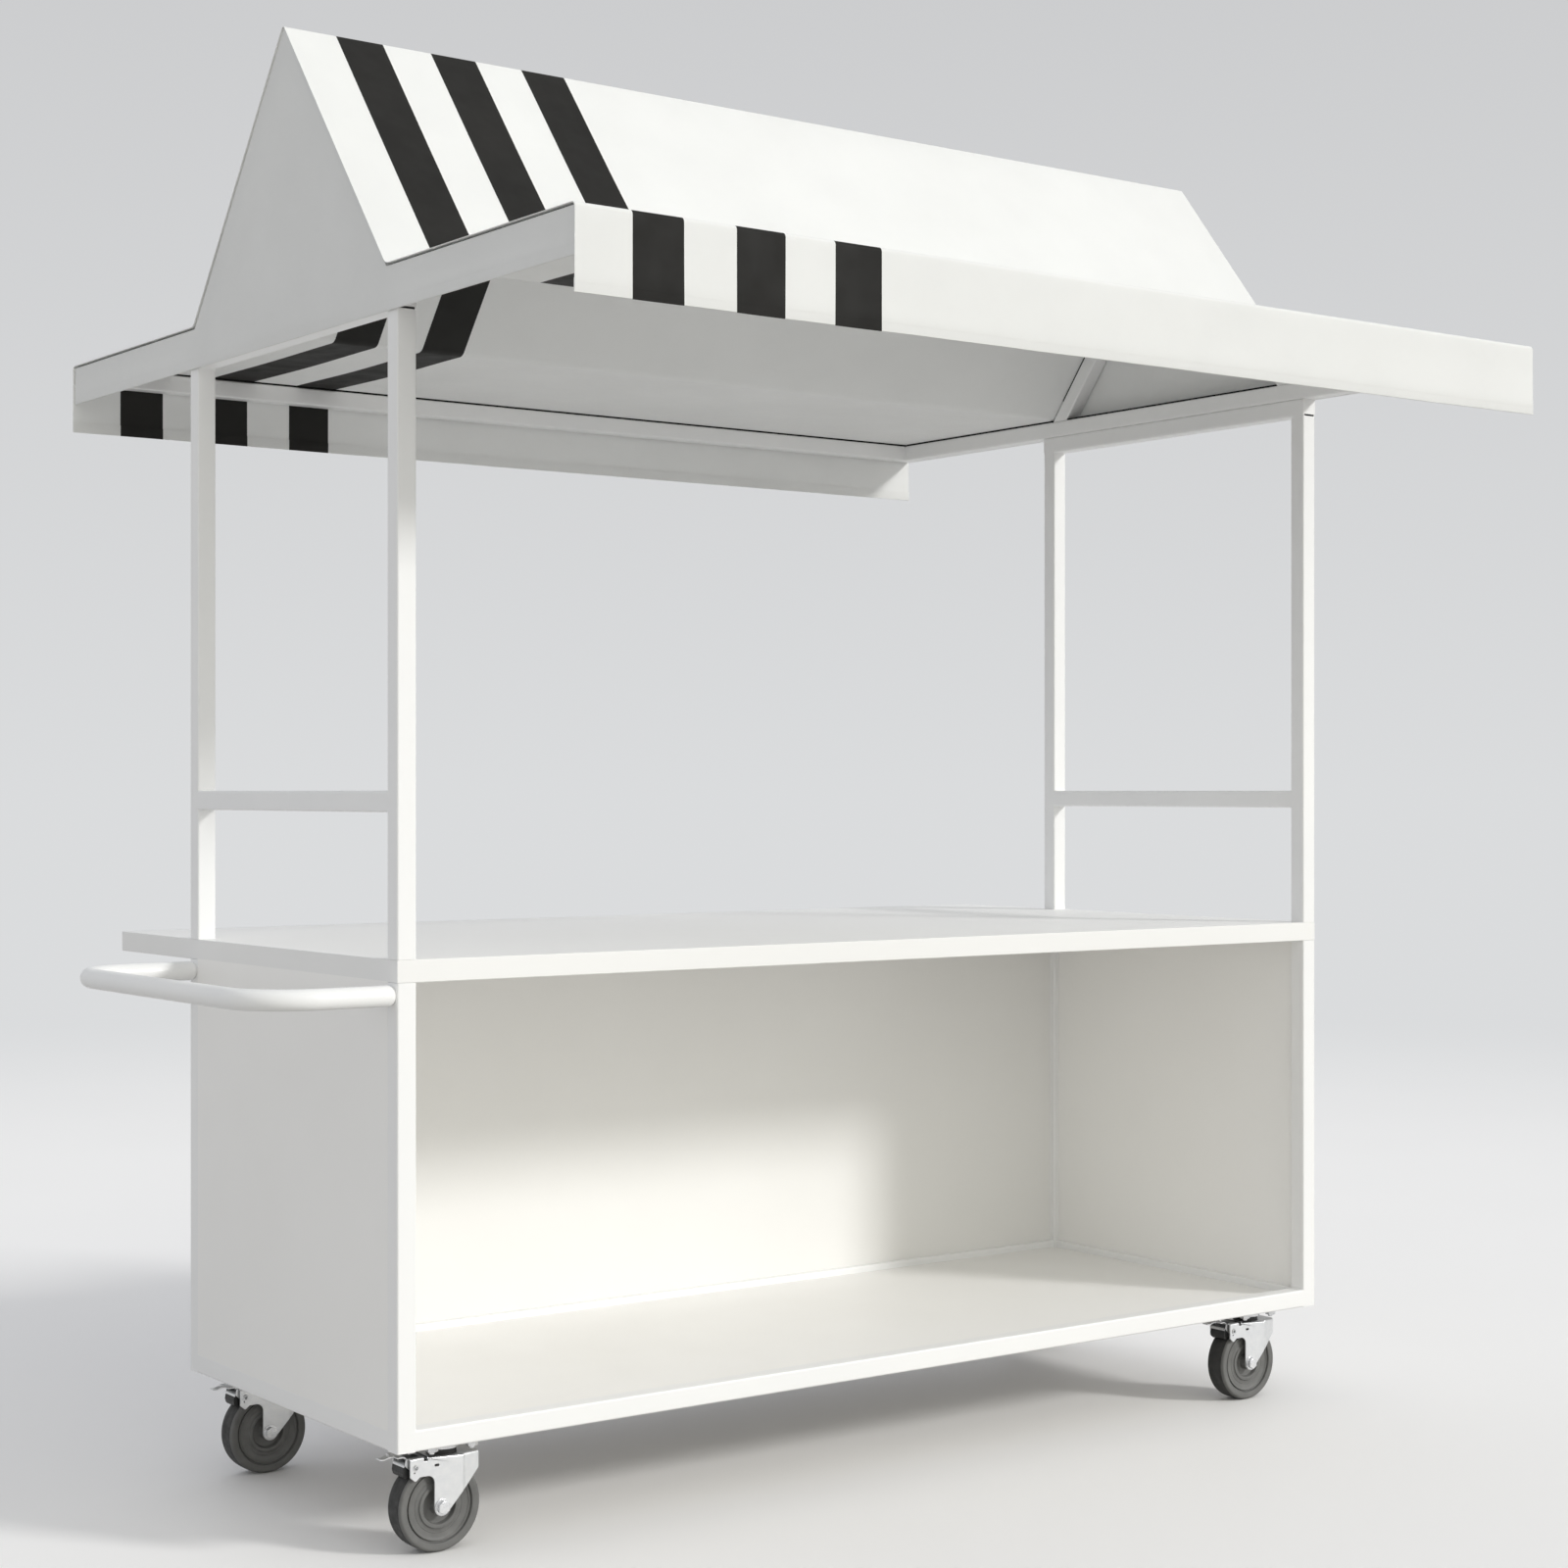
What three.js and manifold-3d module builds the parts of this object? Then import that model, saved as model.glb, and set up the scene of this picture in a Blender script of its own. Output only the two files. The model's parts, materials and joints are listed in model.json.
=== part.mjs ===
import * as THREE from 'three';
import { mergeVertices } from 'three/addons/utils/BufferGeometryUtils.js';
import Module from 'manifold-3d';

// Serving cart with canopy: an open-fronted cabinet in a welded square-tube frame, on four
// swivel casters with brakes, with a counter, four posts and a cloth canopy with black bands.
// Millimetres. +X runs along the counter away from the push handle, +Y to the back, +Z up.
// The cart stands on Z = 0, and its origin is under the middle of its overall box.

// Frame tube
const tubeWidth = 30;
const tubeWall = 2;
const tubeCorner = 3;
const tubeCornerSteps = 2;
const ventDiameter = 8;
const ventSides = 12;

// Cabinet and counter
const bodyLength = 1830;
const bodyDepth = 684;
const boardThickness = 18;
const counterHeight = 840;
const counterThickness = 32;
const counterOverhang = 272;

// Posts and rails over the counter
const postHeight = 897;
const midRailRise = 203;

// Push handle
const handleDiameter = 30;
const handleWall = 2;
const handleReach = 200;
const handleDrop = 50;
const handleBend = 90;
const handleSides = 16;
const handleSteps = 36;

// Canopy cloth, an outline in Y and Z drawn along X
const canopyDepth = 1622;
const ridgeRise = 1363;
const slopeSpan = 636;
const flapHeight = 113;
const clothThickness = 3.5;
const clothSeat = 0.5;
const ridgeFold = 6;
const brimFold = 7;
const footFold = 18;
const foldSteps = 3;
const ridgeLand = 4;

// End panels of the canopy
const panelThickness = 3;
const panelSeat = 0.5;
const clothOverhang = 2.5;
const leftPanelDrop = 32;

// Black bands, let into both faces of the cloth
const bandCount = 3;
const bandWidth = 78;
const bandPitch = 160;
const firstBand = 85;
const bandThickness = 0.8;
const bandSeat = 0.3;

// Casters
const casterHeight = 160;
const casterFromEnd = 106;
const casterFromSide = 67;
const casterTrail = 12;

// Caster wheel
const wheelDiameter = 130;
const wheelWidth = 38;
const treadWidth = 30;
const shoulderDrop = 0.8;
const shoulderWidth = 35;
const sideDrop = 3;
const tyreSideWidth = 36;
const tyreLipRadius = 51.5;
const tyreBoreRadius = 50;
const tyreBoreWidth = 30;
const hubSeat = 0.3;
const rimWidth = 33;
const rimDepth = 3;
const hubFaceWidth = 28;
const hubRingRadius = 30;
const hubRingWidth = 33;
const hubRecessRadius = 24;
const hubRecessWidth = 20;
const hubBossRadius = 12;
const wheelSides = 24;

// Caster axle
const axleDiameter = 12;
const axleClearance = 0.4;
const boltHeadDiameter = 18;
const boltHeadHeight = 5;
const axleSides = 12;

// Caster fork, with its side outline measured from the axle
const forkSheet = 3;
const forkWidth = 50;
const forkFront = 51;
const forkRear = 61;
const forkTop = 77;
const forkFlank = 47;
const forkBoss = 13.5;
const forkArch = 47;
const forkEarBottom = 41;
const forkEarWidth = 12;
const forkEarSlant = 8;
const forkCrease = 35;
const forkTaper = 4.5;
const forkShoulder = 4;
const archRound = 11;
const earRound = 6;
const flankRound = 6;
const notchRound = 3;
const outlineSteps = 3;
const bossSteps = 8;
const slotLength = 9;
const slotHeight = 4;
const slotBehindLeg = 4;
const slotBelowTop = 16;
const earNotchBack = 23;
const earNotchLength = 6;
const earNotchDepth = 4.5;
const earOpeningWidth = 38;

// Swivel race and king pin
const raceRadius = 24;
const raceBore = 15;
const raceGap = 0.4;
const lowerRaceHeight = 8.5;
const skirtWall = 2;
const skirtLap = 3.5;
const kingPinDiameter = 12;
const kingPinHeadDiameter = 20;
const kingPinHeadHeight = 3.5;
const raceSides = 16;

// Caster top plate
const plateLength = 105;
const plateWidth = 85;
const plateThickness = 4;
const plateCorner = 8;
const plateBoltSpacingLength = 80;
const plateBoltSpacingWidth = 60;
const plateBoltHead = 13;
const plateBoltHeight = 5.3;

// Brake pedal, with its side outline measured from the axle
const brakePinFront = 42;
const brakePinHeight = 60.5;
const brakePinDiameter = 5;
const brakePinClearance = 0.4;
const brakePinHeadDiameter = 8;
const brakePinHeadHeight = 1.8;
const rivetHollowDiameter = 4.4;
const rivetHollowDepth = 1.2;
const pedalWidth = 34;
const pedalSheet = 2.5;
const pedalReach = 86;
const pedalTip = 83.5;
const pedalFoot = 78.5;
const pedalRise = 61;
const pedalRadius = 2;
const shoeFront = 65;
const shoeRear = 54.5;
const shoeTop = 69.5;
const shoeFrontBottom = 53;
const shoeRearBottom = 46.5;
const pinSides = 8;

// Cuts run this far past the faces that they open, and less past the two faces of the cloth
const overrun = 5;
const clothOverrun = 0.5;
// Bolt heads
const hexSides = 6;
// Vertices closer than this are one
const weldDistance = 0.0001;

// Places worked out from the sizes above
const halfLength = bodyLength / 2;
const halfDepth = bodyDepth / 2;
const halfTube = tubeWidth / 2;
const postX = halfLength - halfTube;
const postY = halfDepth - halfTube;
const innerLength = bodyLength - 2 * tubeWidth;
const innerDepth = bodyDepth - 2 * tubeWidth;
const counterBottom = counterHeight - counterThickness;
const postTop = counterHeight + postHeight;
const beamBottom = postTop + tubeWidth;
const beamTop = beamBottom + tubeWidth;
const brimTop = beamTop + clothSeat + clothThickness;
const ridgeTop = counterHeight + ridgeRise;
const slopeHalf = slopeSpan / 2;
const canopyHalf = canopyDepth / 2;
const clothHalfLength = halfLength + panelSeat + panelThickness + clothOverhang;
const slopeAngle = Math.atan2(ridgeTop - brimTop, slopeHalf);
const railY = canopyHalf - clothThickness - clothSeat - halfTube;
const axleHeight = wheelDiameter / 2;
const handleOuter = halfLength + handleReach + handleDiameter / 2;
const centreX = (clothHalfLength - handleOuter) / 2;

// Materials
const whitePaint = { color: 0xf2f2f0, roughness: 0.38, metalness: 0.1 };
const whiteBoard = { color: 0xefeeea, roughness: 0.45, metalness: 0 };
const counterBoard = { color: 0xf4f4f2, roughness: 0.22, metalness: 0 };
const whiteCloth = { color: 0xeeeeec, roughness: 0.7, metalness: 0 };
const blackCloth = { color: 0x2b2926, roughness: 0.7, metalness: 0 };
const zincSteel = { color: 0xc9ccd0, roughness: 0.3, metalness: 0.9 };
const greyRubber = { color: 0x5d5c5b, roughness: 0.75, metalness: 0 };
const greyPlastic = { color: 0x6b6a69, roughness: 0.5, metalness: 0 };

const wasm = await Module();
wasm.setup();

const cart = new THREE.Group();
cart.position.x = -centreX;

function addPiece(parent, name, geometry, finish) {
  const mesh = new THREE.Mesh(geometry, new THREE.MeshStandardMaterial(finish));
  mesh.name = name;
  parent.add(mesh);
  return mesh;
}

// Closed mesh to solid and back, for cuts and joins
function toSolid(geometry) {
  const bare = geometry.clone();
  bare.deleteAttribute('normal');
  bare.deleteAttribute('uv');
  const merged = mergeVertices(bare, weldDistance);
  const mesh = new wasm.Mesh({
    numProp: merged.attributes.position.itemSize,
    vertProperties: new Float32Array(merged.attributes.position.array),
    triVerts: new Uint32Array(merged.index.array),
  });
  return new wasm.Manifold(mesh);
}

function toGeometry(solid) {
  const mesh = solid.getMesh();
  const shared = new THREE.BufferGeometry();
  shared.setAttribute('position', new THREE.BufferAttribute(mesh.vertProperties, mesh.numProp));
  shared.setIndex(new THREE.BufferAttribute(mesh.triVerts, 1));
  const flat = shared.toNonIndexed();
  flat.computeVertexNormals();
  return flat;
}

// Outline through corners { x, y, r }, each rounded to its own radius
function roundedOutline(corners, steps, closed) {
  const points = [];
  const last = corners.length - 1;
  corners.forEach((corner, i) => {
    const here = new THREE.Vector2(corner.x, corner.y);
    const open = !closed && (i === 0 || i === last);
    if (open || !corner.r) {
      points.push(here);
      return;
    }
    const before = corners[(i + last) % corners.length];
    const after = corners[(i + 1) % corners.length];
    const back = new THREE.Vector2(before.x, before.y).sub(here).normalize();
    const on = new THREE.Vector2(after.x, after.y).sub(here).normalize();
    const half = Math.acos(back.dot(on)) / 2;
    const centre = back.clone().add(on).setLength(corner.r / Math.sin(half)).add(here);
    const start = back.clone().multiplyScalar(corner.r / Math.tan(half)).add(here).sub(centre);
    const end = on.clone().multiplyScalar(corner.r / Math.tan(half)).add(here).sub(centre);
    const sweep = Math.atan2(start.cross(end), start.dot(end));
    const count = corner.steps || steps;
    for (let k = 0; k <= count; k += 1) {
      points.push(start.clone().rotateAround(new THREE.Vector2(), (sweep * k) / count).add(centre));
    }
  });
  return points;
}

function roundedRectangle(width, height, radius, steps) {
  const w = width / 2;
  const h = height / 2;
  const corners = [
    { x: -w, y: -h, r: radius },
    { x: w, y: -h, r: radius },
    { x: w, y: h, r: radius },
    { x: -w, y: h, r: radius },
  ];
  return roundedOutline(corners, steps, true);
}

function circle(radius, count) {
  const points = [];
  for (let i = 0; i < count; i += 1) {
    const angle = (2 * Math.PI * i) / count;
    points.push(new THREE.Vector2(radius * Math.cos(angle), radius * Math.sin(angle)));
  }
  return points;
}

function extrude(points, depth, holes = []) {
  const shape = new THREE.Shape(points);
  holes.forEach((hole) => shape.holes.push(new THREE.Path(hole)));
  return new THREE.ExtrudeGeometry(shape, { depth, bevelEnabled: false });
}

// Turns an extrusion so that its outline lies in Y and Z and its length along +X
function alongX(geometry) {
  const x = new THREE.Vector3(0, 1, 0);
  const y = new THREE.Vector3(0, 0, 1);
  const z = new THREE.Vector3(1, 0, 0);
  return geometry.applyMatrix4(new THREE.Matrix4().makeBasis(x, y, z));
}

// Turns an extrusion so that its outline lies in X and Z, centred on Y = 0
function acrossY(geometry, width) {
  geometry.rotateX(Math.PI / 2);
  return geometry.translate(0, width / 2, 0);
}

function rodAlongY(radius, from, to, sides) {
  const rod = new THREE.CylinderGeometry(radius, radius, to - from, sides);
  return rod.translate(0, (from + to) / 2, 0);
}

function rodAlongZ(radius, from, to, sides) {
  const rod = new THREE.CylinderGeometry(radius, radius, to - from, sides);
  return rod.rotateX(Math.PI / 2).translate(0, 0, (from + to) / 2);
}

function board(lengthX, lengthY, lengthZ) {
  return new THREE.BoxGeometry(lengthX, lengthY, lengthZ);
}

// Square tube, open at both ends, along +Z from 0
function openTube(length) {
  const outside = roundedRectangle(tubeWidth, tubeWidth, tubeCorner, tubeCornerSteps);
  const boreWidth = tubeWidth - 2 * tubeWall;
  const bore = roundedRectangle(boreWidth, boreWidth, 0, 0);
  return extrude(outside, length, [bore]);
}

// Square tube along +Z from 0, closed by a welded end plate at its foot and open at its top
function footedTube(length) {
  const outside = roundedRectangle(tubeWidth, tubeWidth, tubeCorner, tubeCornerSteps);
  const boreWidth = tubeWidth - 2 * tubeWall;
  const bore = board(boreWidth, boreWidth, length - tubeWall + overrun);
  bore.translate(0, 0, (length + tubeWall + overrun) / 2);
  return toGeometry(toSolid(extrude(outside, length)).subtract(toSolid(bore)));
}

// Square tube along +Z from 0, closed at both ends, with a vent into each post that carries it
function ventedTube(length) {
  const outside = roundedRectangle(tubeWidth, tubeWidth, tubeCorner, tubeCornerSteps);
  const boreWidth = tubeWidth - 2 * tubeWall;
  const bore = board(boreWidth, boreWidth, length - 2 * tubeWall);
  bore.translate(0, 0, length / 2);
  let solid = toSolid(extrude(outside, length)).subtract(toSolid(bore));
  [halfTube, length - halfTube].forEach((z) => {
    const vent = rodAlongY(ventDiameter / 2, 0, halfTube + overrun, ventSides);
    solid = solid.subtract(toSolid(vent.translate(0, 0, z)));
  });
  return toGeometry(solid);
}

const ends = [['left', -1], ['right', 1]];
const sides = [['front', -1], ['rear', 1]];

// Cabinet frame and posts
function makeFrame() {
  ends.forEach(([end, sx]) => {
    sides.forEach(([side, sy]) => {
      const lowerLength = counterBottom - casterHeight;
      const lower = addPiece(cart, `lower_post_${side}_${end}`, footedTube(lowerLength), whitePaint);
      lower.position.set(sx * postX, sy * postY, casterHeight);
      const upper = addPiece(cart, `upper_post_${side}_${end}`, openTube(postHeight), whitePaint);
      upper.position.set(sx * postX, sy * postY, counterHeight);
    });
    const bottom = addPiece(cart, `bottom_rail_${end}`, openTube(innerDepth), whitePaint);
    bottom.rotation.x = -Math.PI / 2;
    bottom.position.set(sx * postX, -innerDepth / 2, casterHeight + halfTube);
    const middle = addPiece(cart, `mid_rail_${end}`, openTube(innerDepth), whitePaint);
    middle.rotation.x = -Math.PI / 2;
    middle.position.set(sx * postX, -innerDepth / 2, counterHeight + midRailRise + halfTube);
    const top = addPiece(cart, `top_rail_${end}`, ventedTube(bodyDepth), whitePaint);
    top.rotation.x = -Math.PI / 2;
    top.position.set(sx * postX, -halfDepth, postTop + halfTube);
  });
  sides.forEach(([side, sy]) => {
    const rail = addPiece(cart, `bottom_rail_${side}`, openTube(innerLength), whitePaint);
    rail.rotation.y = Math.PI / 2;
    rail.position.set(-innerLength / 2, sy * postY, casterHeight + halfTube);
  });
}

// Shelf floor and closing panels, set flush into the frame, and the counter on top
function makeBoards() {
  const floor = addPiece(cart, 'floor_panel', board(innerLength, innerDepth, boardThickness), whiteBoard);
  floor.position.z = casterHeight + boardThickness / 2;
  const railTop = casterHeight + tubeWidth;
  const panelHeight = counterBottom - railTop;
  const panelMiddle = (counterBottom + railTop) / 2;
  ends.forEach(([end, sx]) => {
    const panel = addPiece(cart, `${end}_panel`, board(boardThickness, innerDepth, panelHeight), whiteBoard);
    panel.position.set(sx * (halfLength - boardThickness / 2), 0, panelMiddle);
  });
  const back = addPiece(cart, 'back_panel', board(innerLength, boardThickness, panelHeight), whiteBoard);
  back.position.set(0, halfDepth - boardThickness / 2, panelMiddle);
  const depth = bodyDepth + counterOverhang;
  const counter = addPiece(cart, 'countertop', board(bodyLength, depth, counterThickness), counterBoard);
  counter.position.set(0, counterOverhang / 2, counterHeight - counterThickness / 2);
}

// Bent round tube welded to the two left-hand posts
function makeHandle() {
  const armY = halfDepth - handleDiameter / 2;
  const bendX = -(halfLength + handleReach - handleBend);
  const bendY = armY - handleBend;
  const quarterArcShare = (4 / 3) * Math.tan(Math.PI / 8);
  const tangent = handleBend * quarterArcShare;
  const z = counterHeight - handleDrop;
  const at = (x, y) => new THREE.Vector3(x, y, z);
  const path = new THREE.CurvePath();
  path.add(new THREE.LineCurve3(at(-halfLength, -armY), at(bendX, -armY)));
  path.add(new THREE.CubicBezierCurve3(
    at(bendX, -armY),
    at(bendX - tangent, -armY),
    at(bendX - handleBend, -bendY - tangent),
    at(bendX - handleBend, -bendY),
  ));
  path.add(new THREE.LineCurve3(at(bendX - handleBend, -bendY), at(bendX - handleBend, bendY)));
  path.add(new THREE.CubicBezierCurve3(
    at(bendX - handleBend, bendY),
    at(bendX - handleBend, bendY + tangent),
    at(bendX - tangent, armY),
    at(bendX, armY),
  ));
  path.add(new THREE.LineCurve3(at(bendX, armY), at(-halfLength, armY)));
  const section = new THREE.Shape(circle(handleDiameter / 2, handleSides));
  section.holes.push(new THREE.Path(circle(handleDiameter / 2 - handleWall, handleSides)));
  const options = { steps: handleSteps, extrudePath: path, bevelEnabled: false };
  addPiece(cart, 'push_handle', new THREE.ExtrudeGeometry(section, options), whitePaint);
}

// The cloth's outer outline from flap bottom to flap bottom, moved inwards by a distance
function canopyOutline(inwards, bottom) {
  const side = canopyHalf - inwards;
  const brim = brimTop - inwards;
  const peak = ridgeTop - inwards / Math.cos(slopeAngle);
  const foot = (peak - brim) / Math.tan(slopeAngle);
  const corners = [
    { x: -side, y: bottom },
    { x: -side, y: brim, r: brimFold - inwards },
    { x: -foot, y: brim, r: footFold + inwards },
    { x: 0, y: peak, r: ridgeFold - inwards },
    { x: foot, y: brim, r: footFold + inwards },
    { x: side, y: brim, r: brimFold - inwards },
    { x: side, y: bottom },
  ];
  return roundedOutline(corners, foldSteps, false);
}

// The sheet between two depths under the cloth's outer face, along X from a start
function sheetBlock(outer, inner, bottom, from, length) {
  const points = [
    ...canopyOutline(outer, bottom),
    ...canopyOutline(inner, bottom).reverse(),
  ];
  return alongX(extrude(points, length)).translate(from, 0, 0);
}

function makeCloth() {
  const bottom = brimTop - flapHeight;
  const groove = bandThickness + bandSeat;
  let cover = toSolid(sheetBlock(0, clothThickness, bottom, -clothHalfLength, 2 * clothHalfLength));
  for (let i = 0; i < bandCount; i += 1) {
    const from = -clothHalfLength + firstBand + i * bandPitch;
    const deep = clothThickness + clothOverrun;
    const sleeve = toSolid(sheetBlock(-clothOverrun, deep, bottom - overrun, from, bandWidth));
    const coreLength = bandWidth + 2 * overrun;
    const coreDepth = clothThickness - groove;
    const core = toSolid(sheetBlock(groove, coreDepth, bottom + groove, from - overrun, coreLength));
    cover = cover.subtract(sleeve.subtract(core));
    const bandFrom = from + bandSeat;
    const bandLength = bandWidth - 2 * bandSeat;
    const whole = toSolid(sheetBlock(0, clothThickness, bottom, bandFrom, bandLength));
    const hollowLength = bandLength + 2 * overrun;
    const hollowDepth = clothThickness - bandThickness;
    const hollowBottom = bottom + bandThickness;
    const hollowFrom = bandFrom - overrun;
    const hollow = toSolid(sheetBlock(bandThickness, hollowDepth, hollowBottom, hollowFrom, hollowLength));
    addPiece(cart, `canopy_band_${i + 1}`, toGeometry(whole.subtract(hollow)), blackCloth);
  }
  addPiece(cart, 'canopy_cover', toGeometry(cover), whiteCloth);
}

// Flat cloth gables, the left one drawn down over the top rail and the right one not
function makeEndPanels() {
  const inset = clothThickness + clothSeat;
  const drops = { left: beamBottom - leftPanelDrop, right: beamBottom };
  ends.forEach(([end, sx]) => {
    const outline = canopyOutline(inset, drops[end]);
    const panel = addPiece(cart, `end_panel_${end}`, alongX(extrude(outline, panelThickness)), whiteCloth);
    const inner = halfLength + panelSeat;
    panel.position.x = sx > 0 ? inner : -inner - panelThickness;
  });
}

// Chevron outline of a rafter pair, its outer edge a distance under the cloth's outer face
function rafterOutline(outer, inner, bottom, land) {
  const tan = Math.tan(slopeAngle);
  const outerPeak = ridgeTop - outer / Math.cos(slopeAngle);
  const innerPeak = ridgeTop - inner / Math.cos(slopeAngle);
  return [
    new THREE.Vector2(-(outerPeak - bottom) / tan, bottom),
    new THREE.Vector2(-(innerPeak - bottom) / tan, bottom),
    new THREE.Vector2(0, innerPeak),
    new THREE.Vector2((innerPeak - bottom) / tan, bottom),
    new THREE.Vector2((outerPeak - bottom) / tan, bottom),
    new THREE.Vector2(land / 2, outerPeak - (land / 2) * tan),
    new THREE.Vector2(-land / 2, outerPeak - (land / 2) * tan),
  ];
}

function makeCanopyFrame() {
  const railMiddle = beamBottom + halfTube;
  sides.forEach(([side, sy]) => {
    const rail = addPiece(cart, `canopy_rail_${side}`, openTube(bodyLength), whitePaint);
    rail.rotation.y = Math.PI / 2;
    rail.position.set(-halfLength, sy * railY, railMiddle);
  });
  const outer = clothThickness + clothSeat;
  const beamLength = 2 * (railY - halfTube);
  const boreWidth = tubeWidth - 2 * tubeWall;
  ends.forEach(([end, sx]) => {
    const beam = addPiece(cart, `canopy_beam_${end}`, openTube(beamLength), whitePaint);
    beam.rotation.x = -Math.PI / 2;
    beam.position.set(sx * postX, -beamLength / 2, railMiddle);
    const whole = extrude(rafterOutline(outer, outer + tubeWidth, beamTop, ridgeLand), tubeWidth);
    const boreOutline = rafterOutline(outer + tubeWall, outer + tubeWidth - tubeWall, beamTop - overrun, 0);
    const bore = extrude(boreOutline, boreWidth).translate(0, 0, tubeWall);
    const pair = toGeometry(toSolid(whole).subtract(toSolid(bore)));
    addPiece(cart, `rafter_pair_${end}`, alongX(pair).translate(sx * postX - halfTube, 0, 0), whitePaint);
  });
  const poleTop = ridgeTop - outer / Math.cos(slopeAngle) - halfTube * Math.tan(slopeAngle);
  const pole = addPiece(cart, 'ridge_pole', openTube(innerLength), whitePaint);
  pole.rotation.y = Math.PI / 2;
  pole.position.set(-innerLength / 2, 0, poleTop - halfTube);
}

// Outline of a turned ring from half of its section, as radius and half width
function turned(half) {
  const points = half.map(([radius, width]) => new THREE.Vector2(radius, width / 2));
  const mirrored = half.map(([radius, width]) => new THREE.Vector2(radius, -width / 2)).reverse();
  const ring = [...mirrored, ...points];
  ring.push(ring[0].clone());
  return new THREE.LatheGeometry(ring, wheelSides, Math.PI / wheelSides);
}

// Radius at the corners of a wheel whose flats lie at the given radius
function acrossFlats(radius) {
  return radius / Math.cos(Math.PI / wheelSides);
}

function tyreGeometry() {
  const tread = acrossFlats(wheelDiameter / 2);
  return turned([
    [tyreBoreRadius, tyreBoreWidth],
    [tyreLipRadius, tyreSideWidth],
    [tread - sideDrop, wheelWidth],
    [tread - shoulderDrop, shoulderWidth],
    [tread, treadWidth],
  ].reverse());
}

function hubGeometry() {
  const rim = tyreBoreRadius - hubSeat;
  const bore = axleDiameter / 2 + axleClearance;
  const bossWidth = forkWidth - 2 * forkSheet - 2 * axleClearance;
  return turned([
    [rim, tyreBoreWidth],
    [rim - rimDepth / 2, rimWidth],
    [rim - rimDepth, hubFaceWidth],
    [hubRingRadius, hubFaceWidth],
    [hubRingRadius - rimDepth / 2, hubRingWidth],
    [hubRecessRadius + rimDepth / 2, hubRingWidth],
    [hubRecessRadius, hubRecessWidth],
    [hubBossRadius, hubRecessWidth],
    [hubBossRadius, bossWidth],
    [bore, bossWidth],
  ]);
}

function axleGeometry() {
  const face = forkWidth / 2;
  const reach = face + boltHeadHeight / 2;
  const shank = rodAlongY(axleDiameter / 2, -reach, reach, axleSides);
  let solid = toSolid(shank);
  [-1, 1].forEach((side) => {
    const from = side > 0 ? face : -face - boltHeadHeight;
    const head = rodAlongY(boltHeadDiameter / 2, from, from + boltHeadHeight, hexSides);
    solid = solid.add(toSolid(head));
  });
  return toGeometry(solid);
}

// Side outline of the fork about the axle: a straight leg to a round boss at the axle,
// a slanting rear flank tangent to the boss, and an arched hollow behind the brake ear
function forkSide() {
  const reach = Math.hypot(forkRear, forkFlank);
  const slant = Math.atan2(forkFlank, forkRear) + Math.asin(forkBoss / reach);
  const bossCorner = forkFlank - (forkRear + forkBoss) * Math.tan(slant);
  const earRear = forkFront - forkEarWidth;
  return roundedOutline([
    { x: -forkFront, y: forkTop },
    { x: -forkFront, y: forkEarBottom, r: earRound },
    { x: -earRear, y: forkEarBottom, r: notchRound },
    { x: -earRear + forkEarSlant, y: forkArch, r: notchRound },
    { x: -forkBoss, y: forkArch, r: archRound },
    { x: -forkBoss, y: bossCorner, r: forkBoss, steps: bossSteps },
    { x: forkRear, y: forkFlank, r: flankRound },
    { x: forkRear, y: forkTop },
  ], outlineSteps, true);
}

// Plan of the fork with its rear flanks pressed inwards past the crease
function forkPlan(inset, past) {
  const half = forkWidth / 2 - inset;
  const run = forkRear - forkCrease + past;
  const narrow = half - (forkTaper * run) / (forkRear - forkCrease);
  return [
    new THREE.Vector2(-forkFront - past, -half),
    new THREE.Vector2(forkCrease, -half),
    new THREE.Vector2(forkRear + past, -narrow),
    new THREE.Vector2(forkRear + past, narrow),
    new THREE.Vector2(forkCrease, half),
    new THREE.Vector2(-forkFront - past, half),
  ];
}

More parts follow.
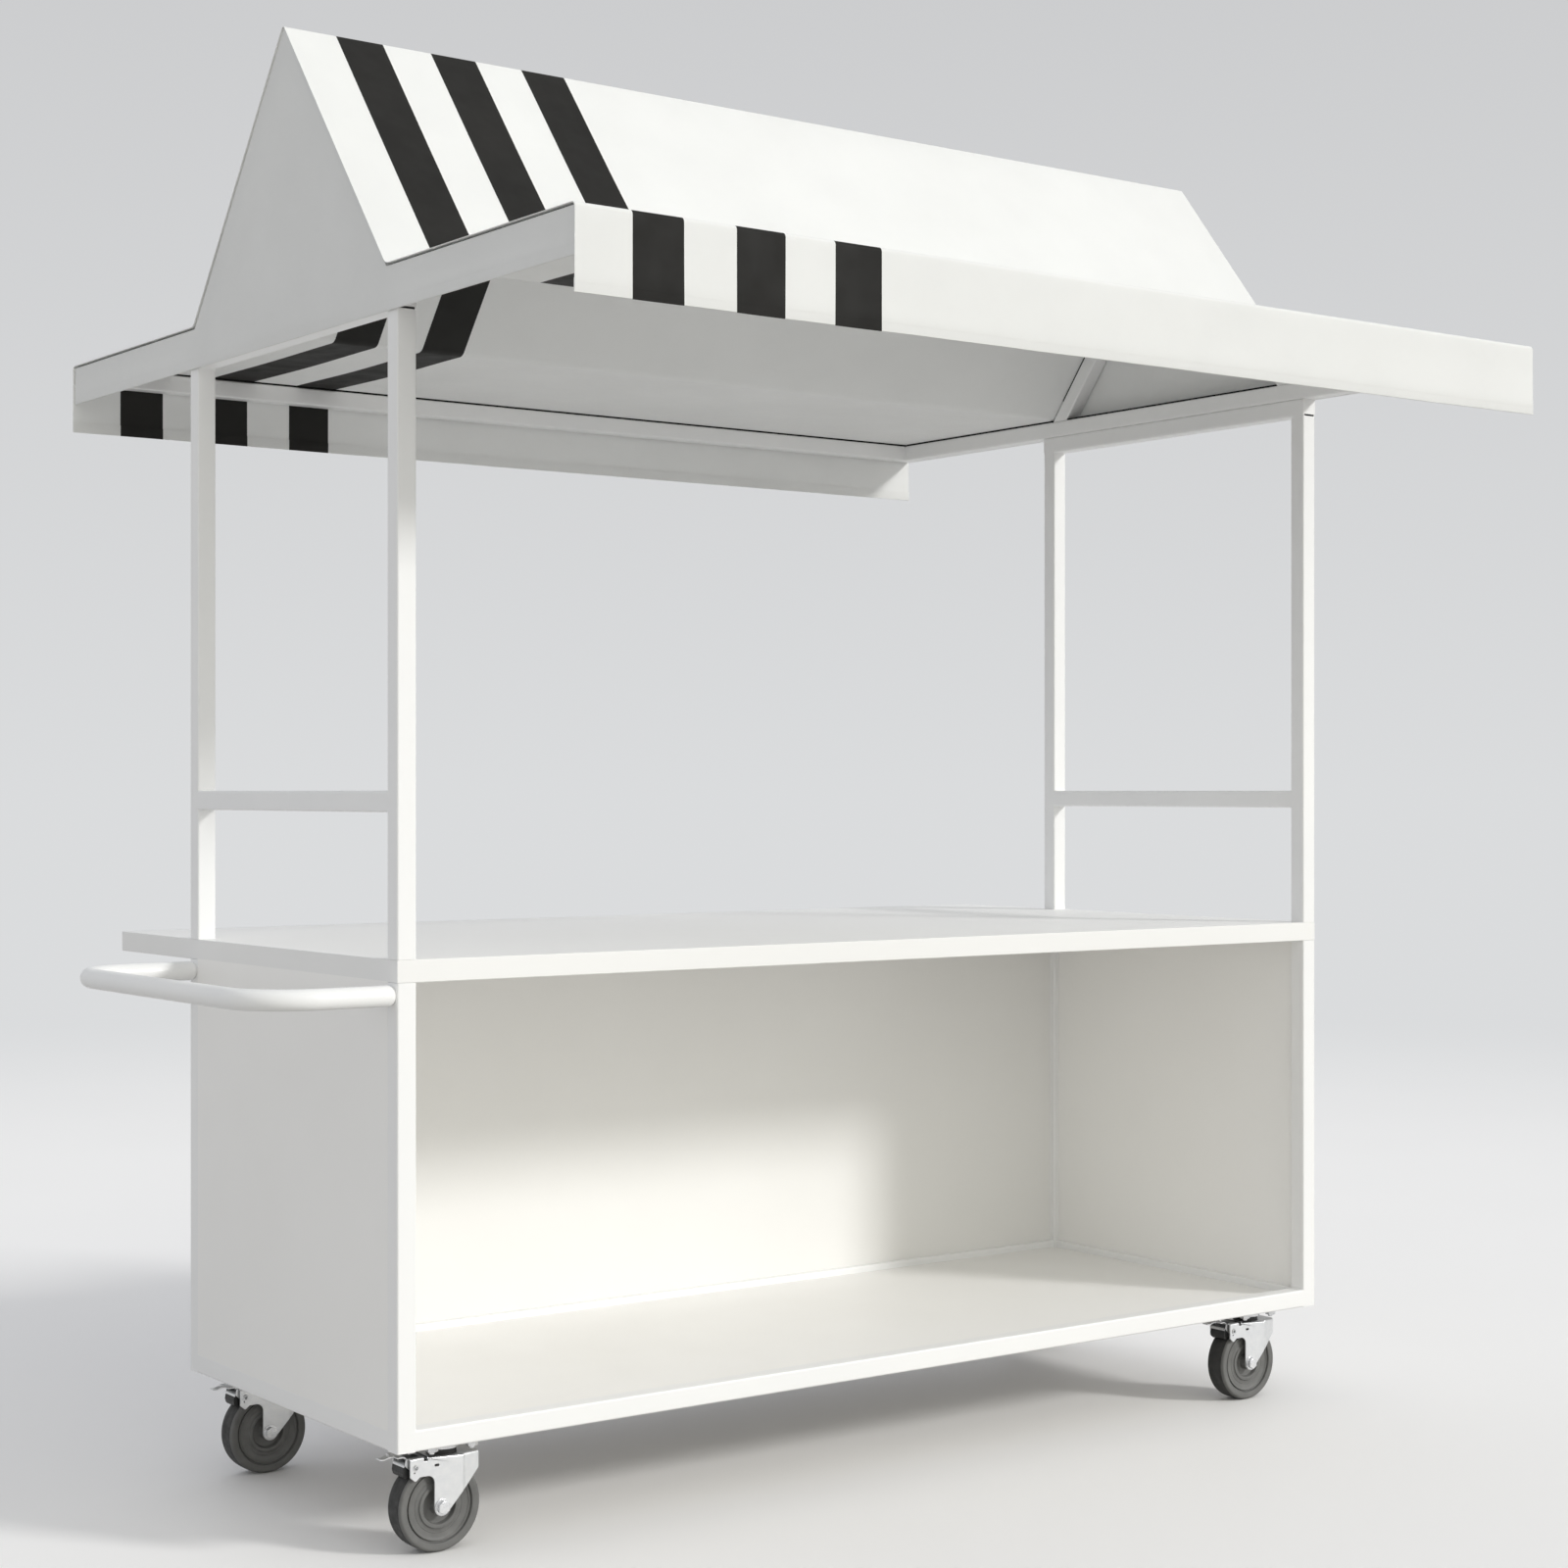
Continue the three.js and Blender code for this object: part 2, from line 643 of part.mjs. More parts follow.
// Fork with its lower race, open at the top between the two brake ears
function forkGeometry() {
  const half = forkWidth / 2;
  const depth = forkTop + forkBoss + 2 * overrun;
  const side = toSolid(acrossY(extrude(forkSide(), forkWidth), forkWidth));
  const plan = toSolid(extrude(forkPlan(0, 0), depth).translate(0, 0, forkTop - depth));
  const front = roundedOutline([
    { x: -half, y: forkTop - depth },
    { x: half, y: forkTop - depth },
    { x: half, y: forkTop, r: forkShoulder },
    { x: -half, y: forkTop, r: forkShoulder },
  ], outlineSteps, true);
  const length = forkFront + forkRear;
  const folded = toSolid(alongX(extrude(front, length)).translate(-forkFront, 0, 0));
  const inside = extrude(forkPlan(forkSheet, overrun), depth).translate(0, 0, forkTop - forkSheet - depth);
  let fork = side.intersect(plan).intersect(folded).subtract(toSolid(inside));

  const swivelAt = casterTrail;
  const race = rodAlongZ(raceRadius, forkTop - forkSheet / 2, forkTop + lowerRaceHeight, raceSides);
  fork = fork.add(toSolid(race.translate(swivelAt, 0, 0)));
  const raceHole = rodAlongZ(raceBore, forkTop, forkTop + lowerRaceHeight + overrun, raceSides);
  fork = fork.subtract(toSolid(raceHole.translate(swivelAt, 0, 0)));
  const pinHole = kingPinDiameter / 2 + axleClearance;
  const headHole = rodAlongZ(pinHole, forkTop - forkSheet - overrun, forkTop + overrun, raceSides);
  fork = fork.subtract(toSolid(headHole.translate(swivelAt, 0, 0)));

  const through = half + overrun;
  const axleHole = rodAlongY(axleDiameter / 2 + axleClearance / 2, -through, through, axleSides);
  fork = fork.subtract(toSolid(axleHole));
  const brakeHole = rodAlongY(brakePinDiameter / 2 + brakePinClearance, -through, through, pinSides);
  fork = fork.subtract(toSolid(brakeHole.translate(-brakePinFront, 0, brakePinHeight)));
  const slot = board(slotLength, 2 * through, slotHeight);
  slot.translate(-forkBoss + slotBehindLeg, 0, forkTop - slotBelowTop);
  fork = fork.subtract(toSolid(slot));

  const notch = board(earNotchLength, 2 * through, 2 * earNotchDepth);
  notch.translate(-earNotchBack - earNotchLength / 2, 0, forkTop);
  const openingLength = forkFront + overrun - earNotchBack;
  const opening = board(openingLength, earOpeningWidth, 2 * earNotchDepth);
  opening.translate(-earNotchBack - openingLength / 2, 0, forkTop);
  return toGeometry(fork.subtract(toSolid(notch)).subtract(toSolid(opening)));
}

// Top plate with its bolts, the upper race with its skirt, and the king pin
function plateGeometry() {
  const outline = roundedRectangle(plateLength, plateWidth, plateCorner, outlineSteps);
  const under = casterHeight - plateThickness;
  let plate = toSolid(extrude(outline, plateThickness).translate(0, 0, under));
  const headTop = axleHeight + forkTop;
  const raceBottom = headTop + lowerRaceHeight + raceGap;
  const skirtBore = raceRadius + 2 * raceGap;
  const skirtOuter = skirtBore + skirtWall;
  const cup = rodAlongZ(skirtOuter, raceBottom - skirtLap, under + plateThickness / 2, raceSides);
  plate = plate.add(toSolid(cup));
  const cupBore = rodAlongZ(skirtBore, raceBottom - skirtLap - overrun, raceBottom, raceSides);
  plate = plate.subtract(toSolid(cupBore));
  const pinHeadTop = headTop - forkSheet - raceGap;
  const pin = rodAlongZ(kingPinDiameter / 2, pinHeadTop - kingPinHeadHeight / 2, under, raceSides);
  plate = plate.add(toSolid(pin));
  const pinHead = rodAlongZ(kingPinHeadDiameter / 2, pinHeadTop - kingPinHeadHeight, pinHeadTop, raceSides);
  plate = plate.add(toSolid(pinHead));
  [-1, 1].forEach((sx) => {
    [-1, 1].forEach((sy) => {
      const radius = plateBoltHead / 2 / Math.cos(Math.PI / hexSides);
      const head = rodAlongZ(radius, under - plateBoltHeight, under + plateThickness / 2, hexSides);
      head.translate(sx * plateBoltSpacingLength / 2, sy * plateBoltSpacingWidth / 2, 0);
      plate = plate.add(toSolid(head));
    });
  });
  return toGeometry(plate);
}

// Pressed pedal with its brake shoe under it and its pivot pin through the fork's ears
function pedalGeometry() {
  const lever = [
    { x: -brakePinFront + brakePinDiameter, y: brakePinHeight - brakePinDiameter, r: pedalRadius },
    { x: -brakePinFront + brakePinDiameter, y: brakePinHeight + brakePinDiameter, r: pedalRadius },
    { x: -shoeRear - pedalSheet, y: shoeTop, r: 0 },
    { x: -pedalRise + pedalSheet, y: pedalFoot, r: pedalRadius },
    { x: -pedalReach, y: pedalTip, r: 0 },
    { x: -pedalReach, y: pedalTip - pedalSheet, r: 0 },
    { x: -pedalRise, y: pedalFoot - pedalSheet, r: 0 },
    { x: -shoeFront, y: shoeTop, r: 0 },
    { x: -shoeFront, y: shoeFrontBottom, r: pedalRadius },
    { x: -shoeRear, y: shoeRearBottom, r: 0 },
  ];
  const body = extrude(roundedOutline(lever, outlineSteps, true), pedalWidth);
  const face = forkWidth / 2 + raceGap;
  const reach = face + brakePinHeadHeight;
  const pin = rodAlongY(brakePinDiameter / 2, -reach, reach, pinSides);
  let pedal = toSolid(acrossY(body, pedalWidth));
  pedal = pedal.add(toSolid(pin.translate(-brakePinFront, 0, brakePinHeight)));
  [-1, 1].forEach((side) => {
    const from = side > 0 ? face : -face - brakePinHeadHeight;
    const head = rodAlongY(brakePinHeadDiameter / 2, from, from + brakePinHeadHeight, pinSides);
    pedal = pedal.add(toSolid(head.translate(-brakePinFront, 0, brakePinHeight)));
    const hollow = rodAlongY(rivetHollowDiameter / 2, reach - rivetHollowDepth, reach + overrun, pinSides);
    const turnedOut = hollow.rotateZ(side > 0 ? 0 : Math.PI);
    pedal = pedal.subtract(toSolid(turnedOut.translate(-brakePinFront, 0, brakePinHeight)));
  });
  return toGeometry(pedal);
}

function makeCasters() {
  ends.forEach(([end, sx]) => {
    sides.forEach(([side, sy]) => {
      const caster = new THREE.Group();
      caster.position.set(sx * (halfLength - casterFromEnd), sy * (halfDepth - casterFromSide), 0);
      cart.add(caster);
      const at = `${side}_${end}`;
      addPiece(caster, `caster_plate_${at}`, plateGeometry(), zincSteel);
      const axle = new THREE.Group();
      axle.position.set(-casterTrail, 0, axleHeight);
      caster.add(axle);
      addPiece(axle, `caster_fork_${at}`, forkGeometry(), zincSteel);
      addPiece(axle, `axle_bolt_${at}`, axleGeometry(), zincSteel);
      addPiece(axle, `tyre_${at}`, tyreGeometry(), greyRubber);
      addPiece(axle, `wheel_hub_${at}`, hubGeometry(), greyPlastic);
      addPiece(axle, `brake_pedal_${at}`, pedalGeometry(), zincSteel);
    });
  });
}

makeFrame();
makeBoards();
makeHandle();
makeCloth();
makeEndPanels();
makeCanopyFrame();
makeCasters();

export default cart;
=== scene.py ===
import json
import math

import bmesh
import bpy
from mathutils import Matrix, Vector


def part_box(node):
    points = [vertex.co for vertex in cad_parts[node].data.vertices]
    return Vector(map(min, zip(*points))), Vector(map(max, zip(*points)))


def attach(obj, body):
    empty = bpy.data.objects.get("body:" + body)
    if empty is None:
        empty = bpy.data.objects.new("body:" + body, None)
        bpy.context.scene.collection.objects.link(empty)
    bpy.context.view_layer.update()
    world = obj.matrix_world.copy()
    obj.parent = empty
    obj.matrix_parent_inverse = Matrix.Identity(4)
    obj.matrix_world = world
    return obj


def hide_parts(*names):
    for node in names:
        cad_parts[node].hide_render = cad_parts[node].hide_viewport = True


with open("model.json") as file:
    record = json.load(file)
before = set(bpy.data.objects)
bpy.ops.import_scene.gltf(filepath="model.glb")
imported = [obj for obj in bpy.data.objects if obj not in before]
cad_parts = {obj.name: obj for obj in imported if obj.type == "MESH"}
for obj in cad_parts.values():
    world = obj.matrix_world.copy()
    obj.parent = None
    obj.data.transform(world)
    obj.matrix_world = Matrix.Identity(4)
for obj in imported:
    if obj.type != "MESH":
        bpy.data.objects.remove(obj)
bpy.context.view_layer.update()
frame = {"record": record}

# Serving cart with canopy: white powder-coated tube frame, laminate boards and counter,
# a cloth canopy with three black bands, a round push handle and four braked swivel casters.
# Metres. +X runs along the counter away from the handle, +Y to the back, +Z up.

MM = 0.001
X, Y, Z = 0, 1, 2

# Square tube of the frame
tube_corner = 3 * MM
tube_wall = 2 * MM
corner_steps = 4
bore_depth = 25 * MM

# Points nearer than this are merged, and edges shorter than a sliver are dissolved
merge_reach = 0.01 * MM
sliver = 0.001 * MM

# A face or an edge points a way when at least this share of its direction does
straight_share = 0.9
shoulder_share = 0.8

# Edges flatter than these angles are shaded smooth
smooth_angle = math.radians(35)
bead_smooth_angle = math.radians(60)
cloth_smooth_angle = math.radians(40)
wheel_smooth_angle = math.radians(28)
fork_smooth_angle = math.radians(32)

# Edges sharper than these angles are rounded
edge_angle = math.radians(30)
fork_edge_angle = math.radians(28)
shoe_edge_angle = math.radians(25)

# Weld beads
bead_radius = 2.2 * MM
bead_pitch = 2.5 * MM
bead_ripple_share = 0.12
bead_tip_share = 0.45
bead_resolution = 2

# Boards
board_edge = 0.8 * MM
board_lap = 2 * MM
counter_edge = 1.5 * MM
board_edge_steps = 2

# Push handle
handle_bend = 90 * MM
handle_sides = 40
handle_bend_steps = 20
handle_neck = 8 * MM
handle_neck_share = 0.74
handle_swell_share = 0.75

# Canopy cloth, measured on its outer face
brim_over_rail = 4 * MM
ridge_over_brim = 402 * MM
slope_half = 318 * MM
flap_height = 113 * MM
cloth_thickness = 1 * MM
ridge_fold = 6 * MM
brim_fold = 7 * MM
foot_fold = 18 * MM
fold_steps = 6
hem_height = 18 * MM
hem_seam = 14.4 * MM
cover_seam = 32.4 * MM
hem_gap = 0.1 * MM
hem_steps = 5
cloth_step = 30 * MM
slope_sag = 2.5 * MM
brim_sag = 3 * MM
flap_ripple = 0.78 * MM
ripple_length = 410 * MM
fine_ripple_share = 0.6
fine_ripple_rate = 2.5

# Gables. The rate of their wave is in radians per metre.
gable_thickness = 1.2 * MM
gable_sag = 1.2 * MM
gable_slope_seat = 1.3 * MM
gable_foot_inset = 2 * MM
gable_foot_rise = 1 * MM
gable_wave_share = 0.4
gable_wave_rate = 9
gable_rows = 14

# Cloth: how much light it lets through, its dark and light tones, and its weave and stitches
cloth_glow_share = 0.2
white_cloth_tones = (0.905, 0.91, 0.9), (0.94, 0.945, 0.935)
black_cloth_tones = (0.022, 0.0215, 0.02), (0.029, 0.028, 0.026)
weave_pitch = 0.9 * MM
seam_half = 0.6 * MM
stitch_half = 1.9 * MM
stitch_gap = 0.5 * MM

# Black bands of the cloth
band_count = 3
band_width = 78 * MM
band_pitch = 160 * MM
first_band = 85 * MM

# Black tape between the frame and the cloth, put in as painted shade for the dark gap there
tape_thickness = 2.8 * MM
tape_inset = 1.5 * MM
tape_edge = 0.5 * MM
tape_clear = 3 * MM
tape_foot_clear = 44 * MM

# Rafters, made too long and then trimmed to their box
rafter_drop = 4 * MM
rafter_overlong = 1.4
rafter_tape_clear = 90 * MM

# Caster wheel. Its half sections are in mm: the tyre's as drop from the running face and distance
# from the middle, the hub's as radius and distance from the middle.
wheel_radius = 65 * MM
wheel_steps = 96
tread_half = 15.5 * MM
tread_inner = 62.5 * MM
tyre_section = [
    (0, 0), (0, 8), (0.1, 12), (0.4, 14.8), (1.1, 16.8), (2.2, 18.2), (3.6, 18.9), (5, 19), (6.4, 18.9),
    (11, 18.3), (12.4, 17.9), (13.1, 16.8), (13.5, 14.4), (15, 14),
]
hub_section = [
    (49.7, 14), (49.6, 15.6), (49, 16.4), (48.2, 16.5), (47.4, 16.1), (46.7, 15.2), (45.2, 14.4),
    (38.6, 14), (38, 14.5), (37.2, 14.5), (36.6, 14), (33.4, 14.2), (32.4, 14.8), (31.8, 16), (31, 16.5),
    (27.4, 16.5), (26.4, 16.1), (25.4, 14.6), (24.6, 12), (24, 10.4), (23, 10), (13, 10), (12.3, 10.6),
    (12, 12), (12, 21.2), (11.6, 21.6), (6.4, 21.6),
]

# Caster fork, measured from the axle. The casters' tables are in mm.
fork_sheet = 3 * MM
fork_half = 25 * MM
fork_front = 51 * MM
fork_rear = 61 * MM
fork_top = 75 * MM
fork_land = 72 * MM
fork_flank = 47 * MM
fork_boss = 12.5 * MM
fork_arch = 47 * MM
fork_ear_bottom = 41 * MM
fork_ear_corner = 48 * MM
fork_ear_width = 8.5 * MM
fork_ear_slant = 7 * MM
fork_crease = 35 * MM
fork_taper = 4.5 * MM
fork_shoulder = 4 * MM
shoulder_steps = 6
shoulder_reach = 0.1 * MM
arch_round = 11 * MM
ear_round = 2.5 * MM
flank_round = 6 * MM
notch_round = 3 * MM
fork_round_steps = 10
fork_edge = 0.8 * MM
# (x, z, corner radius)
fork_slot = [(-12.6, 58.8, 1.7), (-4.8, 58.8, 1.7), (-4.8, 62.4, 1.7), (-12.6, 62.4, 1.7)]
ear_notch_back = 23 * MM
ear_notch_length = 6 * MM
ear_notch_floor = 68.6 * MM
ear_opening_half = 19 * MM
crease_half = 1.6 * MM
crease_depth = 1.1 * MM
crease_reach = 0.2 * MM
fork_merge_reach = 0.05 * MM
fork_sliver = 0.02 * MM
king_pin_hole = 6.2 * MM
king_pin_hole_half = 8 * MM
axle_hole = 6.1 * MM
brake_pin_hole = 2.9 * MM
ear_hole = 1.3 * MM
ear_hole_place = (-44.3 * MM, 0, 54 * MM)
hole_steps = 32
axle_hole_steps = 36
ear_hole_steps = 16
overrun = 5 * MM

# Swivel and top plate, measured from the axle
swivel_back = 12 * MM
swivel_steps = 64
plate_length = 105 * MM
plate_width = 85 * MM
plate_thickness = 4 * MM
plate_under = 91 * MM
plate_corner = 8 * MM
plate_corner_steps = 8
plate_edge = 0.5 * MM
plate_bolt_x = 32 * MM
plate_bolt_y = 30 * MM
shade_seal_over_land = 0.1 * MM
shade_seal_under_plate = 10.6 * MM
# (radius, height): the black seal's top from its upper edge and its foot from its lower edge; its black is
# also painted shade for the gap under the plate
shade_seal_top = [(15.2, 0), (20.4, 0), (21.2, -0.8)]
shade_seal_foot = [(21.4, 4), (20.8, 2.6), (21.8, 1), (21.8, 0), (15.2, 0)]
# (radius, height): the skirt from the plate, the king pin's head from under the fork and its neck
# from the plate
skirt_section = [
    (0, 0), (0, -10.2), (22.4, -10.2), (22.4, -10.8), (23.4, -11.2), (24.4, -10.6), (24.8, -8.8),
    (25.4, -5), (27.4, -1.8), (31, -0.2), (31, 0),
]
king_pin_gap = 0.4 * MM
king_pin_head = [(0, -3.5), (8.8, -3.5), (9.8, -2.6), (10, -0.6), (9.6, 0), (6, 0)]
king_pin_neck = [(6, -4), (0, -4)]
king_pin_steps = 48

# Bolts: the washer face is (radius as a share of the width across flats, height in mm)
bolt_across = 16 * MM
bolt_radius = 4 * MM
bolt_chamfer = 0.8 * MM
bolt_end = 4 * MM
bolt_end_steps = 24
bolt_steps = 40
nut_height = 8.5 * MM
axle_bolt_across = 17 * MM
axle_head_height = 6 * MM
axle_radius = 5.9 * MM
axle_shank_half = 24 * MM
head_chamfer = 0.9 * MM
head_rise = 0.5 * MM
head_edge = 0.35 * MM
washer_height = 1.3 * MM
washer_face = [(0, 0), (0.66, 0), (0.7, 0.3), (0.7, 1.1), (0.67, 1.3), (0, 1.3)]

# Brake, measured from the axle. Lines and outlines are (x, z, corner radius).
brake_pin = Vector((-42 * MM, 0, 60.5 * MM))
pedal_half = 17 * MM
pedal_sheet = 2 * MM
pedal_edge = 0.45 * MM
pedal_tail_half = 6.5 * MM
bend_steps = 6
lever_line = [(-67, 77.2, 0), (-57, 77.6, 8), (-48, 71.8, 6), (-39, 66.5, 0)]
tail_line = [(-88, 76, 0), (-82, 75.2, 6), (-74, 77.4, 10), (-64, 77.4, 0)]
lip_line = [(-57, 61.6, 0), (-56, 65.4, 2), (-49, 66, 5), (-41, 62, 0)]
lip_inset = 1 * MM
lip_sheet = 1.6 * MM
cheek_outline = [(-54, 75, 2), (-56, 64, 3), (-45, 54.5, 5), (-36, 55.5, 5), (-37, 67, 3)]
rib_count = 3
rib_pitch = 3.4 * MM
rib_low = Vector((-67.2, -4.5, 76.8)) * MM
rib_high = Vector((-65.8, 4.5, 78.2)) * MM
rivet_stand = 1.4 * MM
rivet_steps = 32
# (radius, distance from the rivet's outer end)
rivet_section = [
    (2.6, -7), (2.7, -1), (4, -1), (4.3, -0.5), (3.8, 0), (3, 0), (2.5, -0.4), (2.3, -6), (0, -6.4),
]
shoe_gap_radius = 70 * MM
shoe_arc_start = math.radians(139.5)
shoe_arc_sweep = math.radians(-9.9)
shoe_arc_steps = 8
# (x, z), from the end of the arc
shoe_outline = [(-46, 62), (-55, 62.4), (-57.4, 61), (-58.4, 54), (-56.5, 48)]
shoe_inset = 0.4 * MM
shoe_edge = 0.8 * MM
shoe_edge_steps = 3

# Light: a low sun from the front right, an even sky and a brighter low sky in front
sun_way = Vector((-0.515, 0.763, -0.43))
sun_strength = 1.68
sun_angle = math.radians(9)
sun_colour = (1, 0.994, 0.978)
sun_place = (3, -4, 3)
sky_even = (0.62, 0.636, 0.675, 1)
sky_low_front = (0.992, 0.984, 0.901, 1)
low_front_way = Vector((0, -1, 0.1)).normalized()
low_front_from = 0.2
low_front_to = 0.95
horizon_colour = (0.705, 0.715, 0.725, 1)
high_colour = (0.6, 0.605, 0.615, 1)
high_from = 0.3

# Floor: its colour as seen and as thrown back, and where it has run into the background
floor_seen = (0.94, 0.93, 0.92, 1)
floor_thrown = (0.5, 0.485, 0.46, 1)
floor_half = 40
floor_fade_from = 2.6
floor_fade_to = 9.0

# Camera
camera_place = (-2.5854, -3.6478, 1.0722)
camera_turn = math.radians(-36.37)
camera_lens = 62.08
camera_sensor = 36
camera_shift = 0.0046

ends = "left", "right"
corners = [(side, end) for end in ends for side in ("front", "rear")]
joint_place = {j["name"]: Vector(j["pos_m"]) for j in frame["record"]["behaviour"]["joints"]}
middle_x = (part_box("floor_panel")[0].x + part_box("floor_panel")[1].x) / 2
beam_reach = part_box("canopy_beam_right")[0].x - middle_x
cover_lo, cover_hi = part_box("canopy_cover")
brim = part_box("canopy_rail_front")[1].z + brim_over_rail
peak = brim + ridge_over_brim
slope = math.atan2(peak - brim, slope_half)


# Selecting and editing

def drop_selection():
    bpy.ops.object.select_all(action='DESELECT')


def take(piece):
    drop_selection()
    piece.select_set(True)
    bpy.context.view_layer.objects.active = piece


def named(name):
    piece = bpy.context.object
    piece.name = name
    return piece


def settle(piece):
    take(piece)
    bpy.ops.object.transform_apply(location=True, rotation=True, scale=True)
    return piece


def start_edit(piece):
    take(piece)
    bpy.ops.object.mode_set(mode='EDIT')


def end_edit(turn_out=False):
    """Ends the edit, after turning all faces outwards where that is asked for."""
    if turn_out:
        pick_all()
        bpy.ops.mesh.normals_make_consistent(inside=False)
    bpy.ops.object.mode_set(mode='OBJECT')


def pick_all():
    bpy.ops.mesh.select_all(action='SELECT')


def pick_none():
    bpy.ops.mesh.select_all(action='DESELECT')


def pick(kind, test):
    """Selects the faces or edges whose middle and direction pass a test."""
    bpy.ops.mesh.select_mode(type=kind)
    pick_none()
    mesh = bpy.context.edit_object.data
    shape = bmesh.from_edit_mesh(mesh)
    for item in shape.faces if kind == 'FACE' else shape.edges:
        if kind == 'FACE':
            middle, way = item.calc_center_median(), item.normal
        else:
            start, end = (vert.co for vert in item.verts)
            middle, way = (start + end) / 2, (end - start).normalized()
        if test(middle, way):
            item.select_set(True)
    bmesh.update_edit_mesh(mesh)


def use_modifier(piece, kind, **settings):
    take(piece)
    modifier = piece.modifiers.new(kind.lower(), kind)
    for key, value in settings.items():
        setattr(modifier, key, value)
    bpy.ops.object.modifier_apply(modifier=modifier.name)


def weigh_normals(piece):
    use_modifier(piece, 'WEIGHTED_NORMAL', keep_sharp=True)


def smooth(piece, angle=smooth_angle, weighted=True):
    take(piece)
    bpy.ops.object.shade_smooth_by_angle(angle=angle)
    if weighted:
        weigh_normals(piece)


def turned_cube(name, centre, size, turn=(0, 0, 0)):
    drop_selection()
    bpy.ops.mesh.primitive_cube_add(size=1, location=centre, scale=size, rotation=turn)
    return settle(named(name))


def block(name, lo, hi):
    lo, hi = Vector(lo), Vector(hi)
    return turned_cube(name, (lo + hi) / 2, hi - lo)


def round_edges(piece, width, steps=2, angle=edge_angle, clamp=True):
    use_modifier(piece, 'BEVEL', width=width, segments=steps, limit_method='ANGLE', angle_limit=angle,
                 use_clamp_overlap=clamp)


def shift(piece, way):
    piece.data.transform(Matrix.Translation(Vector(way)))


def joined(name, pieces):
    drop_selection()
    for piece in pieces:
        piece.select_set(True)
    bpy.context.view_layer.objects.active = pieces[0]
    bpy.ops.object.join()
    return named(name)


def cut(piece, tool, way='DIFFERENCE'):
    use_modifier(piece, 'BOOLEAN', object=tool, operation=way, solver='EXACT')
    bpy.data.objects.remove(tool)


def hand_over(piece, material, body, slot, *nodes):
    if material:
        piece.data.materials.clear()
        piece.data.materials.append(material)
    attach(piece, body)
    if nodes:
        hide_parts(*nodes)
    return piece


# Outlines

def in_metres(table, past=(0, 0, 0)):
    """Table in mm as rows in metres, moved past a place."""
    return [tuple(value * MM + start for value, start in zip(row, past)) for row in table]


def rounded_path(points, steps, closed=False):
    """Points through corners (across, up, radius), each turned on its own radius."""
    path = []
    last = len(points) - 1
    for i, (across, up, radius) in enumerate(points):
        here = Vector((across, up))
        if not radius or (not closed and i in (0, last)):
            path.append(here)
            continue
        back = (Vector(points[i - 1][:2]) - here).normalized()
        on = (Vector(points[(i + 1) % len(points)][:2]) - here).normalized()
        half = math.acos(max(-1, min(1, back.dot(on)))) / 2
        centre = here + (back + on).normalized() * radius / math.sin(half)
        start = here + back * radius / math.tan(half) - centre
        end = here + on * radius / math.tan(half) - centre
        sweep = math.atan2(start.x * end.y - start.y * end.x, start.dot(end))
        for k in range(steps + 1):
            turn = Matrix.Rotation(sweep * k / steps, 2)
            path.append(centre + turn @ start)
    return path


def drawn_line(name, places):
    """Closed line drawn place by place from a plane merged to the first one."""
    places = [Vector(place) for place in places]
    drop_selection()
    bpy.ops.mesh.primitive_plane_add(size=MM, location=places[0])
    line = settle(named(name))
    start_edit(line)
    bpy.ops.mesh.select_mode(type='VERT')
    pick_all()
    bpy.ops.mesh.merge(type='CENTER')
    for start, end in zip(places, places[1:]):
        bpy.ops.mesh.extrude_vertices_move(TRANSFORM_OT_translate={"value": end - start})
    shape = bmesh.from_edit_mesh(line.data)
    shape.verts.ensure_lookup_table()
    shape.verts[0].select_set(True)
    bpy.ops.mesh.edge_face_add()
    pick_all()
    return line


def in_space(point, way, level):
    """Place of a flat point: with way X it gives (y, z), with Y (x, z) and with Z (x, y)."""
    place = list(point)
    place.insert(way, level)
    return place


def along(way, length):
    """Step of a length in one axis."""
    return Vector(in_space((0, 0), way, length))


def prism(name, outline, way, start, end):
    """Outline extruded along an axis."""
    piece = drawn_line(name, [in_space(point, way, start) for point in outline])
    bpy.ops.mesh.edge_face_add()
    bpy.ops.mesh.extrude_region_move(TRANSFORM_OT_translate={"value": along(way, end - start)})
    end_edit(turn_out=True)
    return piece


def turned(name, section, way=Y, steps=wheel_steps):
    """Closed section of (radius, level) points spun round an axis through the origin."""
    places = [(radius, 0, level) if way == Z else (radius, level, 0) for radius, level in section]
    piece = drawn_line(name, places)
    bpy.ops.mesh.spin(steps=steps, angle=2 * math.pi, center=(0, 0, 0), axis=along(way, 1))
    pick_all()
    bpy.ops.mesh.remove_doubles(threshold=merge_reach)
    bpy.ops.mesh.dissolve_degenerate(threshold=sliver)
    bpy.ops.mesh.delete_loose(use_verts=True, use_edges=True, use_faces=False)
    end_edit(turn_out=True)
    return piece


def mirrored(half):
    """Section of (radius, level) points and its mirror image."""
    return half + [(radius, -level) for radius, level in reversed(half) if level]


def rod(radius, half_length):
    """Section of a plain rod about its middle."""
    return [(0, -half_length), (radius, -half_length), (radius, half_length), (0, half_length)]


def wheel_ring(name, half):
    ring = turned(name, mirrored(half))
    smooth(ring, wheel_smooth_angle)
    return ring


# Materials

def new_material(name, roughness, metallic=0.0, specular=0.5):
    """Material with its nodes, its shader and its Object coordinates."""
    material = bpy.data.materials.new(name)
    material.use_nodes = True
    shader = material.node_tree.nodes["Principled BSDF"]
    shader.inputs["Roughness"].default_value = roughness
    shader.inputs["Metallic"].default_value = metallic
    shader.inputs["Specular IOR Level"].default_value = specular
    place = add(material.node_tree, "ShaderNodeTexCoord").outputs["Object"]
    return material, material.node_tree, shader, place


